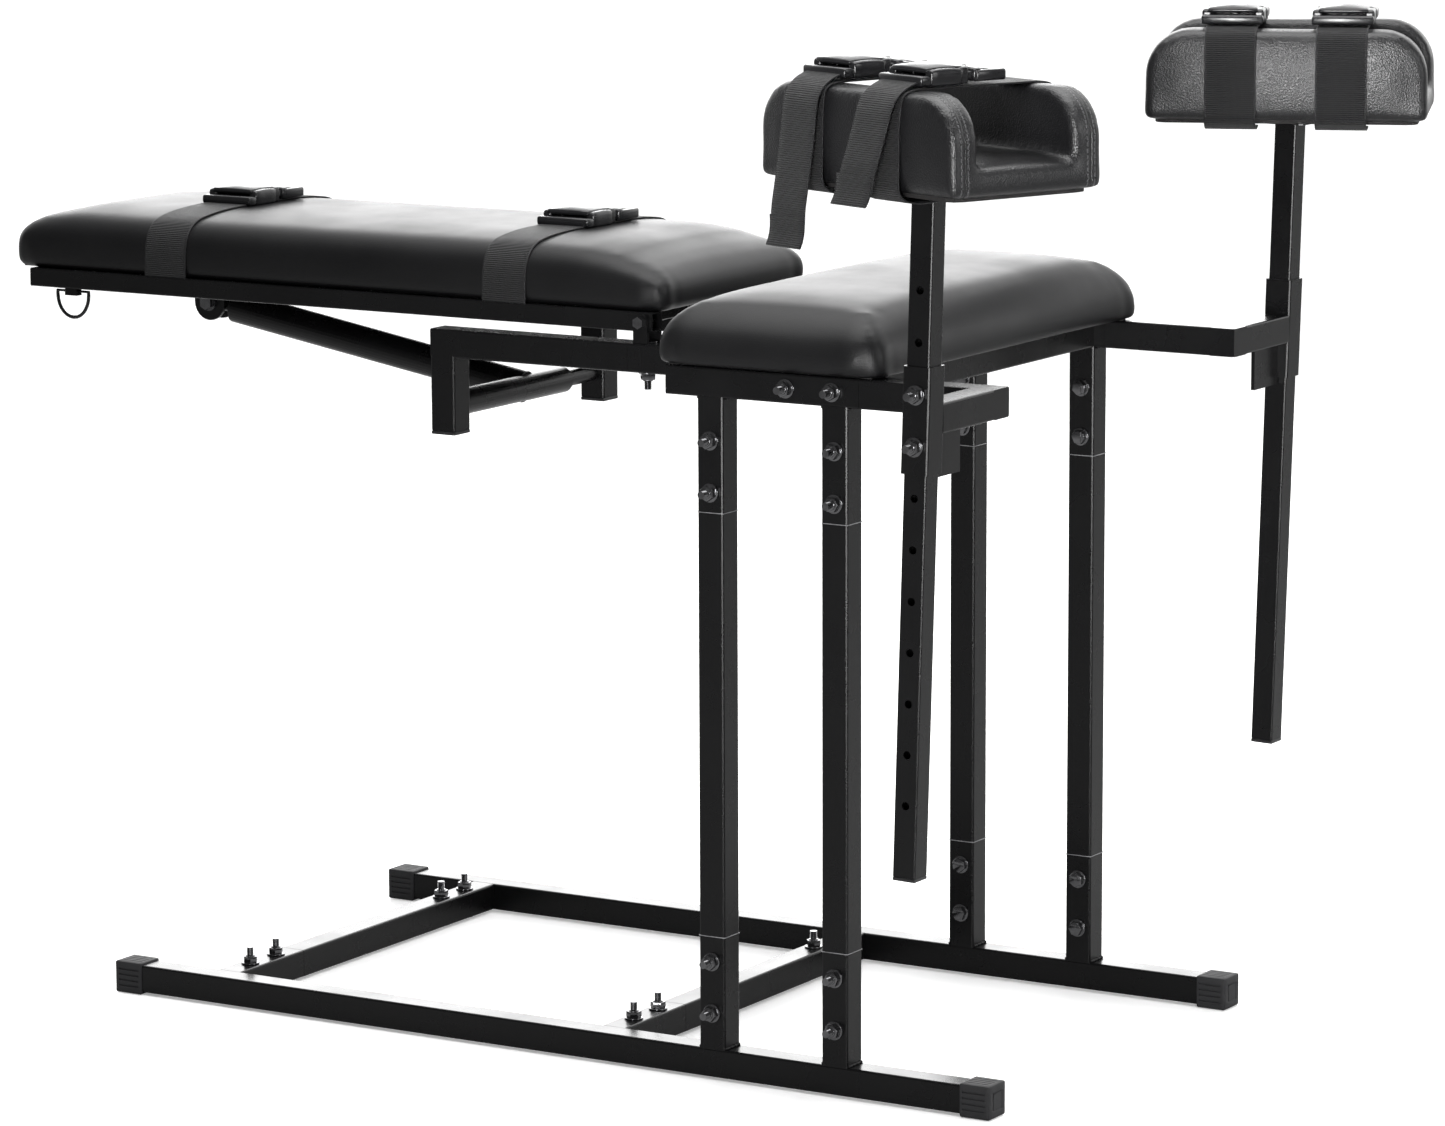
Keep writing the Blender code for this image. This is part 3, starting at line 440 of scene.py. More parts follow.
for sign in (-1, 1):
    for ahead in (0.036, 0.084):
        turn += 0.9
        x, y = support_high.x - ahead, sign * 0.1475
        hex_nut(bm, (x, y, 0.705), (0, 0, -1), turn=turn)
        hex_nut(bm, (x, y, 0.735), (0, 0, 1), thin=True, turn=turn * 1.3)
new_piece("frame_bolts", bm, "base", bolt_black, 35)

for side, sign in (("near", -1), ("far", 1)):
    for level in ("lower", "upper"):
        low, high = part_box(f"clamp_bolt_{side}_{level}")
        bm = bmesh.new()
        middle = (low + high) / 2
        turn += 1.1
        hex_nut(bm, (middle.x, sign * 0.4108, middle.z), (0, sign, 0), turn=turn)
        nut = new_piece(f"clamp_nut_{side}_{level}", bm, "base", bolt_black, 35)
        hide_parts(f"clamp_bolt_{side}_{level}")
dress([n for n in frame_nodes if n.startswith(("hinge_pin", "swivel_bolt", "prop_bolt"))],
      bolt_black)
rod_black = surface("oiled_black_rod", (0.020, 0.020, 0.021), 0.16, 0.0016, 0.00001,
                    variation=0.5, patch_size=0.02, metallic=0.5)
dress(["prop_rod", "d_ring"], rod_black)

# ---------------------------------------------------------------- rubber end caps
# Soft black rubber caps pushed over the rail ends. Four grooves run along each side for grip,
# and the closed end carries a shallow square ring.
rubber = surface("black_rubber", (0.029, 0.029, 0.031), 0.62, 0.0009, 0.00006,
                 variation=0.4, patch_size=0.02, dust=0.05, specular=0.35)
GROOVE, GROOVE_DEPTH, RIB_COUNT = 0.0019, 0.0011, 5
for side in ("near", "far"):
    for end in ("foot", "head"):
        low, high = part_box(f"end_cap_{side}_{end}")
        size, middle = high - low, (low + high) / 2
        outward = -1 if end == "foot" else 1
        bm = bmesh.new()
        bmesh.ops.create_cube(bm, size=1.0)
        bmesh.ops.scale(bm, vec=size, verts=bm.verts)
        bmesh.ops.bevel(bm, geom=bm.edges[:], offset=0.0022, segments=2, profile=0.5,
                        affect="EDGES", material=-1)
        rib = (size.y - 0.005) / RIB_COUNT
        cuts = [(-RIB_COUNT / 2 + i) * rib + s * GROOVE / 2 for i in range(1, RIB_COUNT)
                for s in (-1, 1)]
        for axis in (1, 2):
            for cut in cuts:
                spot, normal = Vector(), Vector()
                spot[axis], normal[axis] = cut, 1.0
                bmesh.ops.bisect_plane(bm, geom=bm.verts[:] + bm.edges[:] + bm.faces[:],
                                       plane_co=spot, plane_no=normal)
        lip = size.x / 2 - 0.0035
        for x in (-outward * lip, outward * (size.x / 2 - 0.0050)):
            bmesh.ops.bisect_plane(bm, geom=bm.verts[:] + bm.edges[:] + bm.faces[:],
                                   plane_co=(x, 0, 0), plane_no=(1, 0, 0))
        grooves = []
        for face in bm.faces:
            centre, normal = face.calc_center_median(), face.normal
            across = centre.z if abs(normal.y) > 0.9 else centre.y
            if abs(normal.x) > 0.2 or max(abs(normal.y), abs(normal.z)) < 0.9:
                continue
            if not -lip < outward * centre.x < size.x / 2 - 0.0050:
                continue
            if any(abs(across - (cuts[i] + cuts[i + 1]) / 2) < GROOVE / 2
                   for i in range(0, len(cuts), 2)):
                grooves.append(face)
        bmesh.ops.inset_individual(bm, faces=grooves, thickness=0.0003, depth=-GROOVE_DEPTH)
        end_faces = [f for f in bm.faces if f.normal.x * outward > 0.9
                     and abs(f.calc_center_median().y) < size.y * 0.36
                     and abs(f.calc_center_median().z) < size.z * 0.36]
        for thickness, depth in ((0.0, 0.0), (0.0012, -0.0006), (0.0030, 0.0), (0.0012, 0.0006)):
            if thickness:
                bmesh.ops.inset_region(bm, faces=end_faces, thickness=thickness, depth=depth)
        bmesh.ops.translate(bm, vec=middle, verts=bm.verts)
        cap = new_piece(f"ribbed_cap_{side}_{end}", bm, "base", rubber, 30)
        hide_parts(f"end_cap_{side}_{end}")

# ---------------------------------------------------------------- tube plugs
# Square moulded inserts pressed into the open lower ends of the drop legs and the posts.
moulded = surface("moulded_plastic", (0.014, 0.014, 0.015), 0.42, 0.0005, 0.00003,
                  variation=0.3, patch_size=0.03, specular=0.45)
dress([n for n in frame_nodes if "plug" in n], moulded)

# ---------------------------------------------------------------- seat and back pads
# Foam on a plywood board, wrapped in black leatherette that is pulled over the corners in
# small pleats and stapled underneath. The top swells a little and the sides draw in.
leatherette = surface("smooth_leatherette", (0.0042, 0.0042, 0.0047), 0.43, 0.0010, 0.00010,
                      variation=0.35, patch_size=0.12, dust=0.04, softness=0.35, specular=0.28)
board_black = surface("board_cloth", (0.016, 0.015, 0.015), 0.85, 0.0008, 0.0002,
                      variation=0.5, patch_size=0.03)
dress(["seat_board", "back_board", "cradle_board_near", "cradle_board_far"], board_black)


def fix_normals(bm):
    bmesh.ops.recalc_face_normals(bm, faces=bm.faces)


def calm(values, pairs, times):
    """Averages a value at every point with its neighbours', to draw out small wrinkles."""
    a, b = pairs[:, 0], pairs[:, 1]
    total = len(values)
    neighbours = np.bincount(pairs.ravel(), minlength=total)
    for _ in range(times):
        for axis in range(3):
            column = values[:, axis]
            around = (np.bincount(a, weights=column[b], minlength=total)
                      + np.bincount(b, weights=column[a], minlength=total))
            values[:, axis] = 0.5 * column + 0.5 * around / neighbours
    return values


def inflate(piece, voxel, cap, hold, pressure=4.0, draw_out=120):
    """Swells a closed pad as a light cloth, never more than the cap, its held points fixed."""
    remesh = piece.modifiers.new("even", "REMESH")
    remesh.mode = "VOXEL"
    remesh.voxel_size = voxel
    graph = bpy.context.evaluated_depsgraph_get()
    even = bpy.data.meshes.new_from_object(piece.evaluated_get(graph))
    piece.modifiers.clear()
    piece.data = even
    pairs = np.array([e.vertices[:] for e in even.edges])
    places = calm(np.array([v.co[:] for v in even.vertices]), pairs, 4)
    even.vertices.foreach_set("co", places.ravel())
    start = [Vector(co) for co in places]
    pins = piece.vertex_groups.new(name="held")
    pins.add([i for i, co in enumerate(start) if hold(co)], 1.0, "REPLACE")
    cloth = piece.modifiers.new("swell", "CLOTH")
    cloth.settings.quality = 5
    cloth.settings.mass = 0.3
    cloth.settings.tension_stiffness = 15
    cloth.settings.compression_stiffness = 15
    cloth.settings.bending_stiffness = 0.5
    cloth.settings.use_pressure = True
    cloth.settings.uniform_pressure_force = pressure
    cloth.settings.vertex_group_mass = "held"
    cloth.settings.effector_weights.gravity = 0.0
    cloth.collision_settings.use_collision = False
    cloth.point_cache.frame_start, cloth.point_cache.frame_end = 1, 20
    for step in range(1, 21):
        scene.frame_set(step)
    graph = bpy.context.evaluated_depsgraph_get()
    swollen = bpy.data.meshes.new_from_object(piece.evaluated_get(graph))
    piece.modifiers.clear()
    shift = np.array([v.co[:] for v in swollen.vertices]) - places
    far = np.linalg.norm(shift, axis=1, keepdims=True)
    shift *= np.minimum(1.0, cap / np.maximum(far, 1e-9))
    shift = calm(shift, pairs, draw_out)
    swollen.vertices.foreach_set("co", (places + shift).ravel())
    swollen.update()
    piece.data = swollen
    scene.frame_set(1)
    piece.vertex_groups.clear()


def pad_block(name, low, high, corner, rim, end_drop, waist, body, head_slope=1.0):
    """A closed cushion: rounded corners and rim, ends sloping off, sides drawn in below."""
    size, middle = high - low, (low + high) / 2
    bm = bmesh.new()
    bmesh.ops.create_cube(bm, size=1.0)
    bmesh.ops.scale(bm, vec=size, verts=bm.verts)
    upright = [e for e in bm.edges if abs(e.verts[0].co.z - e.verts[1].co.z) > size.z * 0.9]
    bmesh.ops.bevel(bm, geom=upright, offset=corner, segments=8, profile=0.5, affect="EDGES",
                    material=-1)
    top = [e for e in bm.edges if min(v.co.z for v in e.verts) > size.z * 0.4]
    bmesh.ops.bevel(bm, geom=top, offset=rim, segments=7, profile=0.5, affect="EDGES",
                    material=-1)
    bottom = [e for e in bm.edges if max(v.co.z for v in e.verts) < -size.z * 0.4]
    bmesh.ops.bevel(bm, geom=bottom, offset=0.006, segments=2, profile=0.5, affect="EDGES",
                    material=-1)
    for axis, steps in ((0, 24), (1, 16), (2, 4)):
        for i in range(1, steps):
            spot, normal = Vector(), Vector()
            spot[axis], normal[axis] = size[axis] * (i / steps - 0.5), 1.0
            bmesh.ops.bisect_plane(bm, geom=bm.verts[:] + bm.edges[:] + bm.faces[:],
                                   plane_co=spot, plane_no=normal)
    for vertex in bm.verts:
        co = vertex.co
        height = co.z / size.z + 0.5
        for axis, drop in ((0, end_drop[0]), (1, end_drop[1])):
            more = head_slope if axis == 0 and co.x > 0 else 1.0
            run_in = drop[1] * min(more, 1.5)
            reach = max(0.0, abs(co[axis]) - size[axis] / 2 + run_in) / run_in
            co.z -= drop[0] * more * reach ** 2 * max(0.0, height - 0.3) / 0.7
        tuck = 1.0 - waist * max(0.0, 0.45 - height) / 0.45
        co.x *= 1.0 - (1.0 - tuck) * 0.5
        co.y *= tuck
    fix_normals(bm)
    bmesh.ops.translate(bm, vec=middle, verts=bm.verts)
    return new_piece(name, bm, body, leatherette, 180)


def pleat_corners(piece, low, high, reach, depth, count=5):
    """Presses small folds into the upright corners, deepest near the lower edge."""
    for vertex in piece.data.vertices:
        co = vertex.co
        for sx in (0, 1):
            for sy in (0, 1):
                corner_x = high.x - reach if sx else low.x + reach
                corner_y = high.y - reach if sy else low.y + reach
                dx = (co.x - corner_x) * (1 if sx else -1)
                dy = (co.y - corner_y) * (1 if sy else -1)
                if dx > 0 and dy > 0:
                    height = (co.z - low.z) / (high.z - low.z)
                    share = sin(2 * atan2(dy, dx)) ** 2
                    fold = sin(atan2(dy, dx) * 2 * count) * share
                    press = depth * fold * max(0.0, 1.0 - height * 1.25)
                    length = sqrt(dx * dx + dy * dy) or 1.0
                    co.x -= press * dx / length * (1 if sx else -1)
                    co.y -= press * dy / length * (1 if sy else -1)


def soften(piece, levels=1):
    smooth = piece.modifiers.new("soften", "SUBSURF")
    smooth.levels = smooth.render_levels = levels


PAD_CAP = 0.007
pads = {}
for name, board, body, corner, rim, drops, waist, voxel in (
        ("seat_pad", "seat_board", "base", 0.026, 0.045, ((0.003, 0.06), (0.006, 0.10)), 0.004,
         0.006),
        ("back_pad", "back_board", "back", 0.020, 0.026, ((0.010, 0.08), (0.003, 0.05)), 0.012,
         0.006)):
    low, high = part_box(name)
    inner_low = low + Vector((0.0025, 0.0025, 0.0))
    inner_high = high - Vector((0.0025, 0.0025, 0.0035))
    pad = pad_block(f"stuffed_{name}", inner_low, inner_high, corner, rim, drops, waist, body,
                    head_slope=2.2 if name == "back_pad" else 1.0)
    base_z = low.z
    inflate(pad, voxel, PAD_CAP, lambda co: co.z < base_z + 0.011)
    pleat_corners(pad, low, high, corner + 0.030, 0.0026, count=4)
    soften(pad)
    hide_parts(name)
    pads[name] = pad

# ---------------------------------------------------------------- webbing straps
# Ribbed nylon webbing two inches wide, with a firm edge on both sides. Each back strap runs
# over the pad and is fixed under its board; its ends are held by a buckle on top.
WEBBING_WIDTH, WEBBING = 0.054, 0.0018
RIB_PITCH = 0.0021

webbing_rib, w_in, w_out = effect(
    "webbing_ribs",
    [("Along", "NodeSocketVector", None), ("Pitch", "NodeSocketFloat", 0.002),
     ("Width", "NodeSocketFloat", 0.054)],
    [("Height", "NodeSocketFloat"), ("Edge", "NodeSocketFloat")])
run = node(webbing_rib, "ShaderNodeSeparateXYZ", {0: w_in.outputs["Along"]})
rib_turn = maths(webbing_rib, "MULTIPLY",
                 maths(webbing_rib, "DIVIDE", run.outputs["Y"], w_in.outputs["Pitch"]), 2 * pi)
warp_turn = maths(webbing_rib, "MULTIPLY", run.outputs["X"], 2 * pi / 0.0012)
weave = maths(webbing_rib, "MULTIPLY_ADD", maths(webbing_rib, "SINE", warp_turn), 0.35,
              maths(webbing_rib, "SINE", rib_turn))
from_mid = maths(webbing_rib, "ABSOLUTE",
                 maths(webbing_rib, "DIVIDE", run.outputs["X"], w_in.outputs["Width"]))
edge_mask = between(webbing_rib, from_mid, 0.455, 0.475)
flat_edge = node(webbing_rib, "ShaderNodeMix", {"Factor": edge_mask, "A": weave, "B": 0.6})
give(w_out, Height=flat_edge.outputs["Result"], Edge=edge_mask)

nylon, nylon_tree, nylon_shader, nylon_place = finish_material(
    "nylon_webbing", 0.50, specular=0.28, Sheen_Weight=0.06, Sheen_Roughness=0.4)
ribs = use(nylon_tree, webbing_rib, {
    "Along": nylon_place.outputs["UV"], "Pitch": RIB_PITCH, "Width": WEBBING_WIDTH})
nylon_tone = use(nylon_tree, uneven, {
    "Place": nylon_place.outputs["Object"], "Colour": (0.0095, 0.0095, 0.0102, 1),
    "Variation": 0.5, "Patch": 60.0, "Dust": 0.04, "Roughness": 0.55})
# the colour follows the rib height: painted shade in the rib valleys, painted highlight on the rib
# tops and the flat edges
rib_painted_shading = between(nylon_tree, ribs.outputs["Height"], -1.2, 0.6, 0.45, 1.25)
nylon_painted_tone = node(nylon_tree, "ShaderNodeVectorMath",
                   {0: nylon_tone.outputs["Colour"], "Scale": rib_painted_shading}, operation="SCALE")
nylon_bump = node(nylon_tree, "ShaderNodeBump", {
    "Strength": 1.0, "Distance": 0.00035, "Height": ribs.outputs["Height"]})
nylon_tree.links.new(nylon_painted_tone.outputs[0], nylon_shader.inputs["Base Color"])
nylon_tree.links.new(nylon_tone.outputs["Roughness"], nylon_shader.inputs["Roughness"])
nylon_tree.links.new(nylon_bump.outputs["Normal"], nylon_shader.inputs["Normal"])


def hull_path(points):
    """The upper hull of a pad's section, from its lowest point on +Y over the top to -Y."""
    points = sorted(points)
    chain = []
    for p in points:
        while len(chain) > 1 and ((chain[-1][0] - chain[-2][0]) * (p[1] - chain[-2][1])
                                  - (chain[-1][1] - chain[-2][1]) * (p[0] - chain[-2][0])) >= 0:
            chain.pop()
        chain.append(p)
    return chain


def resample(path, step):
    """The same line with points a step apart, softened a little at its bends."""
    fine = []
    for (y0, z0), (y1, z1) in zip(path, path[1:]):
        count_ = max(1, int(sqrt((y1 - y0) ** 2 + (z1 - z0) ** 2) / step))
        fine += [(y0 + (y1 - y0) * i / count_, z0 + (z1 - z0) * i / count_)
                 for i in range(count_)]
    fine.append(path[-1])
    for _ in range(3):
        fine = ([fine[0]] + [tuple((a + 2 * b + c) / 4 for a, b, c in zip(p, q, r))
                             for p, q, r in zip(fine, fine[1:], fine[2:])] + [fine[-1]])
    return fine


def webbing_strip(name, path, body, place=None, width=WEBBING_WIDTH, skew=0.0,
                  finish=nylon):
    """Webbing along a path of (y, z) points about x = 0, its own UV in metres."""
    lengths = [0.0]
    for (y0, z0), (y1, z1) in zip(path, path[1:]):
        lengths.append(lengths[-1] + sqrt((y1 - y0) ** 2 + (z1 - z0) ** 2))
    bm = bmesh.new()
    run = bm.verts.layers.float.new("run")
    uv = bm.loops.layers.uv.new("along")
    verts = []
    for (y, z), s in zip(path, lengths):
        vert = bm.verts.new((-width / 2 + skew * (s / lengths[-1]) ** 2, y, z))
        vert[run] = s
        verts.append(vert)
    edges = [bm.edges.new(pair) for pair in zip(verts, verts[1:])]
    for _ in range(6):
        swept = bmesh.ops.extrude_edge_only(bm, edges=edges)
        moved = {v for v in swept["geom"] if isinstance(v, bmesh.types.BMVert)}
        edges = [e for e in swept["geom"] if isinstance(e, bmesh.types.BMEdge)
                 and e.verts[0] in moved and e.verts[1] in moved]
        bmesh.ops.translate(bm, vec=(width / 6, 0, 0), verts=list(moved))
    fix_normals(bm)
    crown = max(bm.faces, key=lambda f: f.calc_center_median().z)
    if crown.normal.z < 0:
        bmesh.ops.reverse_faces(bm, faces=bm.faces[:])
    for face in bm.faces:
        for loop in face.loops:
            s = loop.vert[run]
            loop[uv].uv = (loop.vert.co.x - skew * (s / lengths[-1]) ** 2, s)
    if place is not None:
        bmesh.ops.transform(bm, matrix=place, verts=bm.verts)
    strip = new_piece(name, bm, body, finish, 180)
    thick = strip.modifiers.new("thickness", "SOLIDIFY")
    thick.thickness = WEBBING
    thick.offset = 1.0
    thick.use_even_offset = True
    eased = strip.modifiers.new("firm_edge", "BEVEL")
    eased.width = 0.0005
    eased.segments = 2
    eased.limit_method = "ANGLE"
    return strip


def pad_section(piece, place, half_width, low_z):
    """Points round a pad's section, across the strap's width, in the strap's own frame."""
    graph = bpy.context.evaluated_depsgraph_get()
    mesh = piece.evaluated_get(graph).to_mesh()
    mesh.transform(place.inverted())
    points = [(v.co.y, v.co.z) for v in mesh.vertices
              if abs(v.co.x) < half_width and v.co.z > low_z]
    piece.evaluated_get(graph).to_mesh_clear()
    return points


for end in ("foot", "head"):
    low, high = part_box(f"back_strap_{end}")
    place = Matrix.Translation(((low.x + high.x) / 2, 0, 0))
    points = pad_section(pads["back_pad"], place, WEBBING_WIDTH / 2, low.z)
    chain = hull_path([(y, z + 0.0004) for y, z in points])
    reach = max(abs(chain[0][0]), abs(chain[-1][0])) + 0.0008
    path = [(-reach, low.z)] + [(max(-reach, min(reach, y)), z) for y, z in chain
                                if z > low.z + 0.012] + [(reach, low.z)]
    path = resample(path, 0.006)
    strap = webbing_strip(f"back_webbing_{end}", path, "back", place)
    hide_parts(f"back_strap_{end}")

# ---------------------------------------------------------------- side-release buckles
# Glossy moulded buckles for two-inch webbing: a crowned socket with open sides, and a plug
# whose two springy arms snap into it, its strap passing over a ladder of three bars.
gloss = surface("gloss_plastic", (0.010, 0.010, 0.011), 0.22, 0.004, 0.00003,
                variation=0.4, patch_size=0.01, specular=0.42)
BUCKLE_WIDTH = 0.062


def lump(bm, low, high, ease, taper=None, crown=0.0, cuts=3):
    """A rounded block from corner to corner, its top crowned and one end narrowed."""
    low, high = Vector(low), Vector(high)
    part = bmesh.new()
    bmesh.ops.create_cube(part, size=1.0)
    bmesh.ops.scale(part, vec=high - low, verts=part.verts)
    bmesh.ops.bevel(part, geom=part.edges[:], offset=ease, segments=3, profile=0.5,
                    affect="EDGES", material=-1, clamp_overlap=True)
    half = (high - low) / 2
    if crown or taper:
        for axis in (0, 1):
            for i in range(1, cuts + 1):
                spot, normal = Vector(), Vector()
                spot[axis], normal[axis] = half[axis] * (2 * i / (cuts + 1) - 1), 1.0
                bmesh.ops.bisect_plane(part, geom=part.verts[:] + part.edges[:] + part.faces[:],
                                       plane_co=spot, plane_no=normal)
    for v in part.verts:
        u, w = v.co.x / half.x, v.co.y / half.y
        if v.co.z > 0:
            v.co.z += crown * (1 - u * u) * (1 - w * w)
        if taper:
            v.co.x *= 1 - taper * (w + 1) / 2
    bmesh.ops.translate(part, vec=(low + high) / 2, verts=part.verts)
    shape = bpy.data.meshes.new("lump")
    part.to_mesh(shape)
    part.free()
    bm.from_mesh(shape)
    bpy.data.meshes.remove(shape)


def buckle(name, place, body, stands_for):
    """Buckle about its middle, the socket towards -Y and the plug towards +Y, lying on z = 0."""
    w = BUCKLE_WIDTH / 2
    bm = bmesh.new()
    lump(bm, (-w, -0.050, 0.0010), (w, -0.038, 0.0085), 0.0022)
    lump(bm, (-w, -0.0385, 0.0005), (-w + 0.010, -0.004, 0.0125), 0.0024, crown=0.001)
    lump(bm, (w - 0.010, -0.0385, 0.0005), (w, -0.004, 0.0125), 0.0024, crown=0.001)
    lump(bm, (-w + 0.006, -0.040, 0.0100), (w - 0.006, 0.001, 0.0140), 0.0018, crown=0.0030)
    lump(bm, (-w + 0.006, -0.040, 0.0004), (w - 0.006, 0.001, 0.0026), 0.0010)
    lump(bm, (-w + 0.002, -0.0050, 0.0010), (w - 0.002, 0.0040, 0.0132), 0.0020, crown=0.0015)
    for sign in (-1, 1):
        lump(bm, (sign * 0.0235 - 0.0040, -0.020, 0.0040), (sign * 0.0235 + 0.0040, 0.014, 0.0098),
             0.0016)
    lump(bm, (-0.0045, -0.010, 0.0040), (0.0045, 0.014, 0.0095), 0.0016)
    lump(bm, (-w + 0.001, 0.0090, 0.0022), (w - 0.001, 0.0175, 0.0118), 0.0022, crown=0.0012)
    for y in (0.0270, 0.0385):
        lump(bm, (-w + 0.002, y, 0.0030), (w - 0.002, y + 0.0060, 0.0095), 0.0018)
    for sign in (-1, 1):
        lump(bm, (sign * (w - 0.0035) - 0.0035, 0.0120, 0.0022),
             (sign * (w - 0.0035) + 0.0035, 0.0440, 0.0105), 0.0020)
    bmesh.ops.scale(bm, vec=(1.05, 1.10, 1.28), verts=bm.verts)
    bmesh.ops.transform(bm, matrix=place, verts=bm.verts)
    fix_normals(bm)
    made = new_piece(name, bm, body, gloss, 40)
    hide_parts(stands_for)
    return made


for end in ("foot", "head"):
    low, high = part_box(f"back_buckle_{end}")
    middle = (low + high) / 2
    place = Matrix.Translation((middle.x, middle.y, low.z - 0.0005))
    buckle(f"back_clip_{end}", place, "back", f"back_buckle_{end}")

# ---------------------------------------------------------------- leg cradles
# A gutter of foam on a board, covered in grained leather. The cover of each side wall is
# sewn along its rim with two rows of stitches. The trough is a separate, pulled-down panel on
# the real cradle, but here it is made in one piece with the walls.
SEAM_LINE, ROW_APART, STITCH = 0.0765, 0.0042, 0.0060
sewn, s_in, s_out = effect(
    "sewn_seam",
    [("Place", "NodeSocketVector", None), ("Line", "NodeSocketFloat", 0.077),
     ("Apart", "NodeSocketFloat", 0.004), ("Stitch", "NodeSocketFloat", 0.005)],
    [("Height", "NodeSocketFloat"), ("Thread", "NodeSocketFloat")])
spot = node(sewn, "ShaderNodeSeparateXYZ", {0: s_in.outputs["Place"]})
off_line = maths(sewn, "SUBTRACT", maths(sewn, "ABSOLUTE", spot.outputs["Y"]),
                 s_in.outputs["Line"])
from_seam = maths(sewn, "ABSOLUTE", off_line)
crease = between(sewn, from_seam, 0.0, 0.0016, -1.0, 0.0)
from_row = maths(sewn, "ABSOLUTE", maths(sewn, "SUBTRACT", from_seam, s_in.outputs["Apart"]))
row_mask = between(sewn, from_row, 0.0005, 0.0011, 1.0, 0.0)
# the rows run out along the wall's top and then down its end
run_down = maths(sewn, "SUBTRACT", maths(sewn, "ABSOLUTE", spot.outputs["X"]),
                 spot.outputs["Z"])
stitch_turn = maths(sewn, "MULTIPLY",
                    maths(sewn, "DIVIDE", run_down, s_in.outputs["Stitch"]), 2 * pi)
stitch_gap = between(sewn, maths(sewn, "SINE", stitch_turn), -0.75, -0.35)
thread = maths(sewn, "MULTIPLY", row_mask, stitch_gap)
dimple = maths(sewn, "MULTIPLY_ADD", thread, 1.5, -0.7)
give(s_out, Height=maths(sewn, "ADD", crease, maths(sewn, "MULTIPLY", row_mask, dimple)),
     Thread=thread)


def sewn_leather(name, centre, turned):
    """Grained leather with a double-sewn seam along both walls of one cradle."""
    made = surface(name, (0.0062, 0.0062, 0.0070), 0.34, 0.0015, 0.00040,
                   variation=0.35, patch_size=0.05, dust=0.03, softness=0.25, specular=0.5)
    tree_ = made.node_tree
    shader = tree_.nodes["Principled BSDF"]
    grain_bump = shader.inputs["Normal"].links[0].from_node
    leather_tone = shader.inputs["Base Color"].links[0].from_socket
    place_ = next(n for n in tree_.nodes if n.bl_idname == "ShaderNodeTexCoord")
    own = node(tree_, "ShaderNodeMapping", vector_type="TEXTURE")
    own.inputs["Location"].default_value = centre
    own.inputs["Rotation"].default_value = (0, 0, turned)
    tree_.links.new(place_.outputs["Object"], own.inputs["Vector"])
    seam = use(tree_, sewn, {"Line": SEAM_LINE, "Apart": ROW_APART, "Stitch": STITCH})
    tree_.links.new(own.outputs[0], seam.inputs["Place"])
    seam_bump = node(tree_, "ShaderNodeBump", {"Strength": 1.0, "Distance": 0.0011})
    tree_.links.new(seam.outputs["Height"], seam_bump.inputs["Height"])
    tree_.links.new(grain_bump.outputs["Normal"], seam_bump.inputs["Normal"])
    tree_.links.new(seam_bump.outputs["Normal"], shader.inputs["Normal"])
    threaded = node(tree_, "ShaderNodeMix", {"B": (0.075, 0.075, 0.078, 1)}, data_type="RGBA")
    tree_.links.new(seam.outputs["Thread"], threaded.inputs["Factor"])
    tree_.links.new(leather_tone, threaded.inputs["A"])
    tree_.links.new(threaded.outputs["Result"], shader.inputs["Base Color"])
    return made


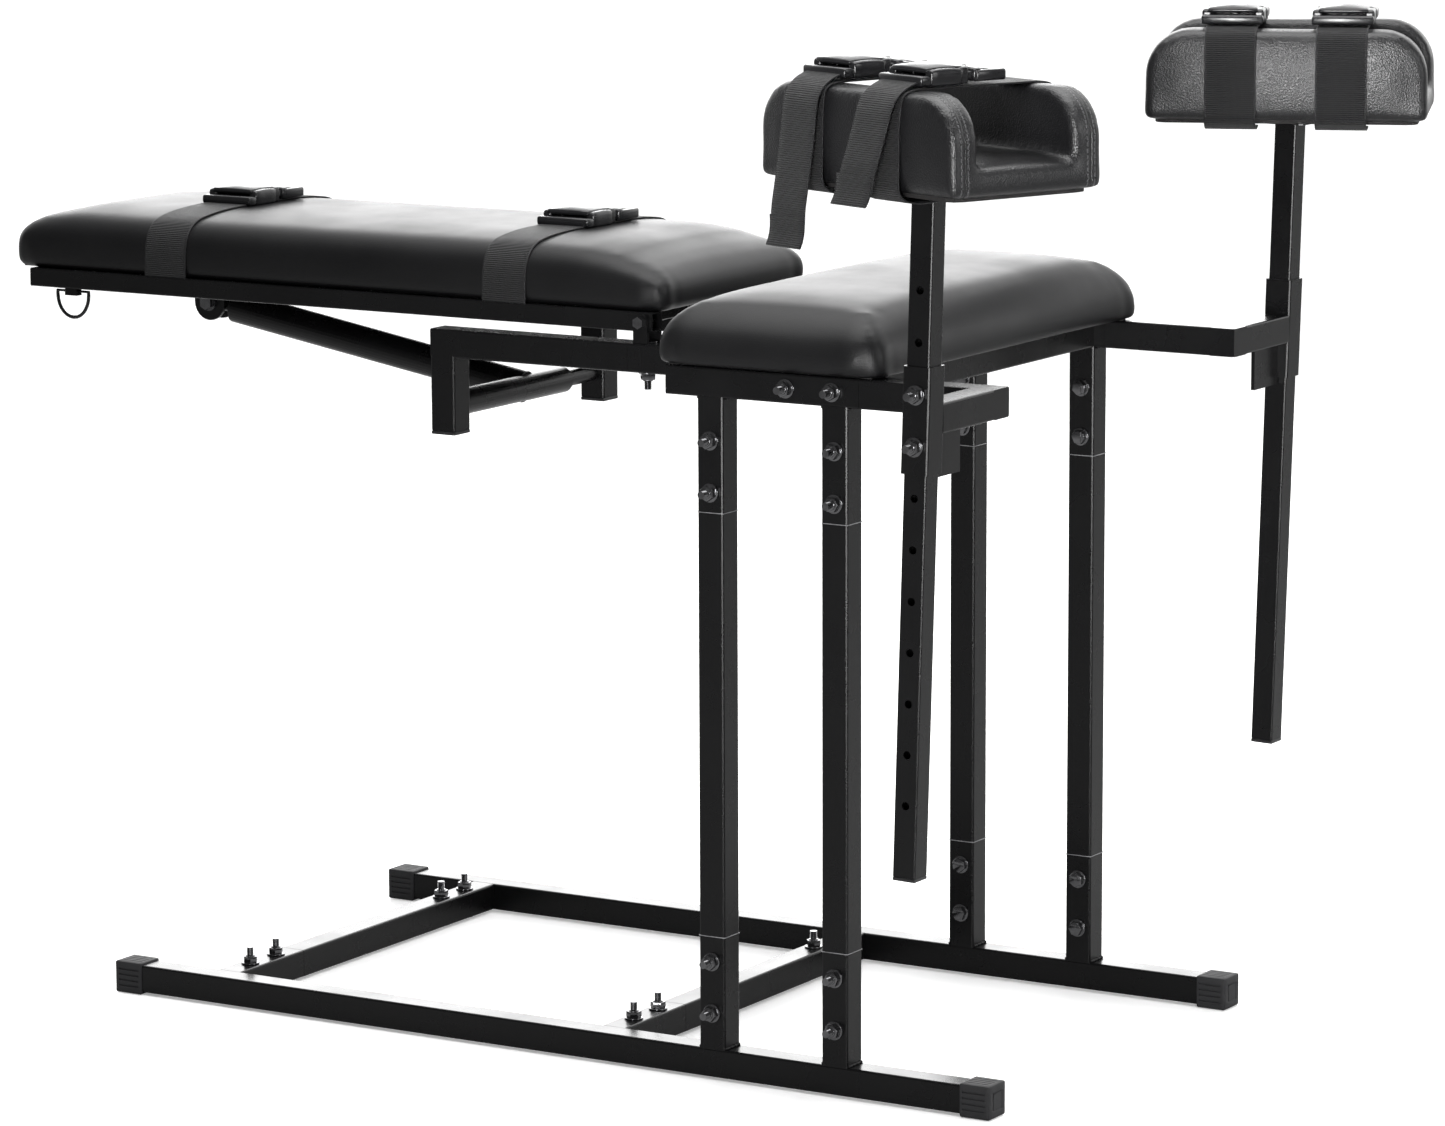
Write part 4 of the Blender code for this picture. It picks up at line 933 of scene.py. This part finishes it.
TROUGH_HALF, TROUGH_FLOOR = 0.0585, 0.977
WALL_END_RADIUS = 0.050
CRADLE_TURN = radians(22)
cradle_pads = {}
for side, sign in (("near", -1), ("far", 1)):
    low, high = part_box(f"cradle_pad_{side}")
    middle = (low + high) / 2
    place = (Matrix.Translation((middle.x, middle.y, 0))
             @ Matrix.Rotation(sign * CRADLE_TURN, 4, "Z"))
    half_x, half_y = 0.150 - 0.0005, 0.0925 - 0.0005
    z0, z1 = low.z + 0.0005, high.z - 0.002
    bm = bmesh.new()
    bmesh.ops.create_cube(bm, size=1.0)
    bmesh.ops.scale(bm, vec=(2 * half_x, 2 * half_y, z1 - z0), verts=bm.verts)
    bmesh.ops.translate(bm, vec=(0, 0, (z0 + z1) / 2), verts=bm.verts)
    for y in (-TROUGH_HALF, TROUGH_HALF):
        bmesh.ops.bisect_plane(bm, geom=bm.verts[:] + bm.edges[:] + bm.faces[:],
                               plane_co=(0, y, 0), plane_no=(0, 1, 0))
    bmesh.ops.bisect_plane(bm, geom=bm.verts[:] + bm.edges[:] + bm.faces[:],
                           plane_co=(0, 0, TROUGH_FLOOR), plane_no=(0, 0, 1))
    gone = [f for f in bm.faces if abs(f.calc_center_median().y) < TROUGH_HALF - 0.001
            and f.calc_center_median().z > TROUGH_FLOOR + 0.001]
    bmesh.ops.delete(bm, geom=gone, context="FACES")
    rims = [e for e in bm.edges if len(e.link_faces) == 1]
    loops_left = [e for e in rims if e.verts[0].co.y < 0 and e.verts[1].co.y < 0]
    loops_right = [e for e in rims if e.verts[0].co.y > 0 and e.verts[1].co.y > 0]
    for loop_edges in (loops_left, loops_right):
        bmesh.ops.contextual_create(bm, geom=loop_edges)
    floor_rim = [e for e in bm.edges if len(e.link_faces) == 1]
    bmesh.ops.contextual_create(bm, geom=floor_rim)
    ends = [e for e in bm.edges if abs(e.verts[0].co.y - e.verts[1].co.y) > 0.02
            and min(v.co.z for v in e.verts) > z1 - 0.001]
    bmesh.ops.bevel(bm, geom=ends, offset=WALL_END_RADIUS, segments=10, profile=0.5,
                    affect="EDGES", material=-1)
    sharp = [e for e in bm.edges if len(e.link_faces) == 2 and e.calc_face_angle(0) > 0.9]
    bmesh.ops.bevel(bm, geom=sharp, offset=0.0075, segments=4, profile=0.5, affect="EDGES",
                    material=-1)
    fix_normals(bm)
    bmesh.ops.transform(bm, matrix=place, verts=bm.verts)
    leather = sewn_leather(f"grained_leather_{side}", (middle.x, middle.y, 0), sign * CRADLE_TURN)
    pad = new_piece(f"stuffed_cradle_{side}", bm, f"cradle_{side}", leather, 180)
    inflate(pad, 0.004, 0.0035, lambda co: co.z < z0 + 0.010, draw_out=50)
    soften(pad)
    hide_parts(f"cradle_pad_{side}")
    cradle_pads[side] = (pad, place)

# ---------------------------------------------------------------- cradle straps
# The same webbing, fixed under each cradle's board and bridging the trough to a buckle.
# On the near cradle the long tails are left hanging outside, their ends folded and sewn.
for side, sign in (("near", -1), ("far", 1)):
    pad, place = cradle_pads[side]
    board_low, board_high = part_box(f"cradle_board_{side}")
    for end, offset in (("foot", -0.058), ("head", 0.058)):
        offset -= 0.010 if side == "near" else 0.0
        at = place @ Matrix.Translation((offset, 0, 0))
        points = pad_section(pad, at, WEBBING_WIDTH / 2, board_low.z)
        chain = hull_path([(y, z + 0.0004) for y, z in points])
        reach = max(abs(chain[0][0]), abs(chain[-1][0])) + 0.0008
        path = ([(-reach, board_low.z)]
                + [(max(-reach, min(reach, y)), z) for y, z in chain if z > board_low.z + 0.015]
                + [(reach, board_low.z)])
        tuck = board_low.z - 0.0035
        path = ([(-reach + 0.050, tuck - 0.001), (-reach + 0.026, tuck - 0.0025),
                 (-reach + 0.008, tuck)] + path
                + [(reach - 0.008, tuck), (reach - 0.026, tuck - 0.0025),
                   (reach - 0.050, tuck - 0.001)])
        path = resample(path, 0.005)
        strap = webbing_strip(f"cradle_webbing_{side}_{end}", path, f"cradle_{side}", at)
        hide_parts(f"cradle_strap_{side}_{end}")
        top = max(z for y, z in path) + WEBBING
        buckle(f"cradle_clip_{side}_{end}", at @ Matrix.Translation((0, -0.020, top + 0.0004)),
               f"cradle_{side}", f"cradle_buckle_{side}_{end}")
        if side == "far":
            continue
        below, lean = (0.058, -0.014) if end == "foot" else (0.010, -0.030)
        out, hem = reach + 0.0035, board_low.z - below
        tail = [(-0.062, top + 0.0060), (-0.074, top + 0.0052), (-out + 0.006, top - 0.0040),
                (-out - 0.001, top - 0.016), (-out - 0.004, (top + hem) / 2 + 0.02),
                (-out - 0.010, hem + 0.035), (-out - 0.008, hem + 0.012), (-out - 0.012, hem)]
        tail = resample(tail, 0.005)
        webbing_strip(f"strap_tail_{end}", tail, "cradle_near", at, width=0.052, skew=lean)
        fold = [(y - 0.0021, z) for y, z in tail[-6:]] + [(tail[-1][0] - 0.0010, hem - 0.0008)]
        webbing_strip(f"strap_hem_{end}", fold, "cradle_near",
                      at @ Matrix.Translation((lean * 0.80, 0, 0)), width=0.0525,
                      skew=lean * 0.20)
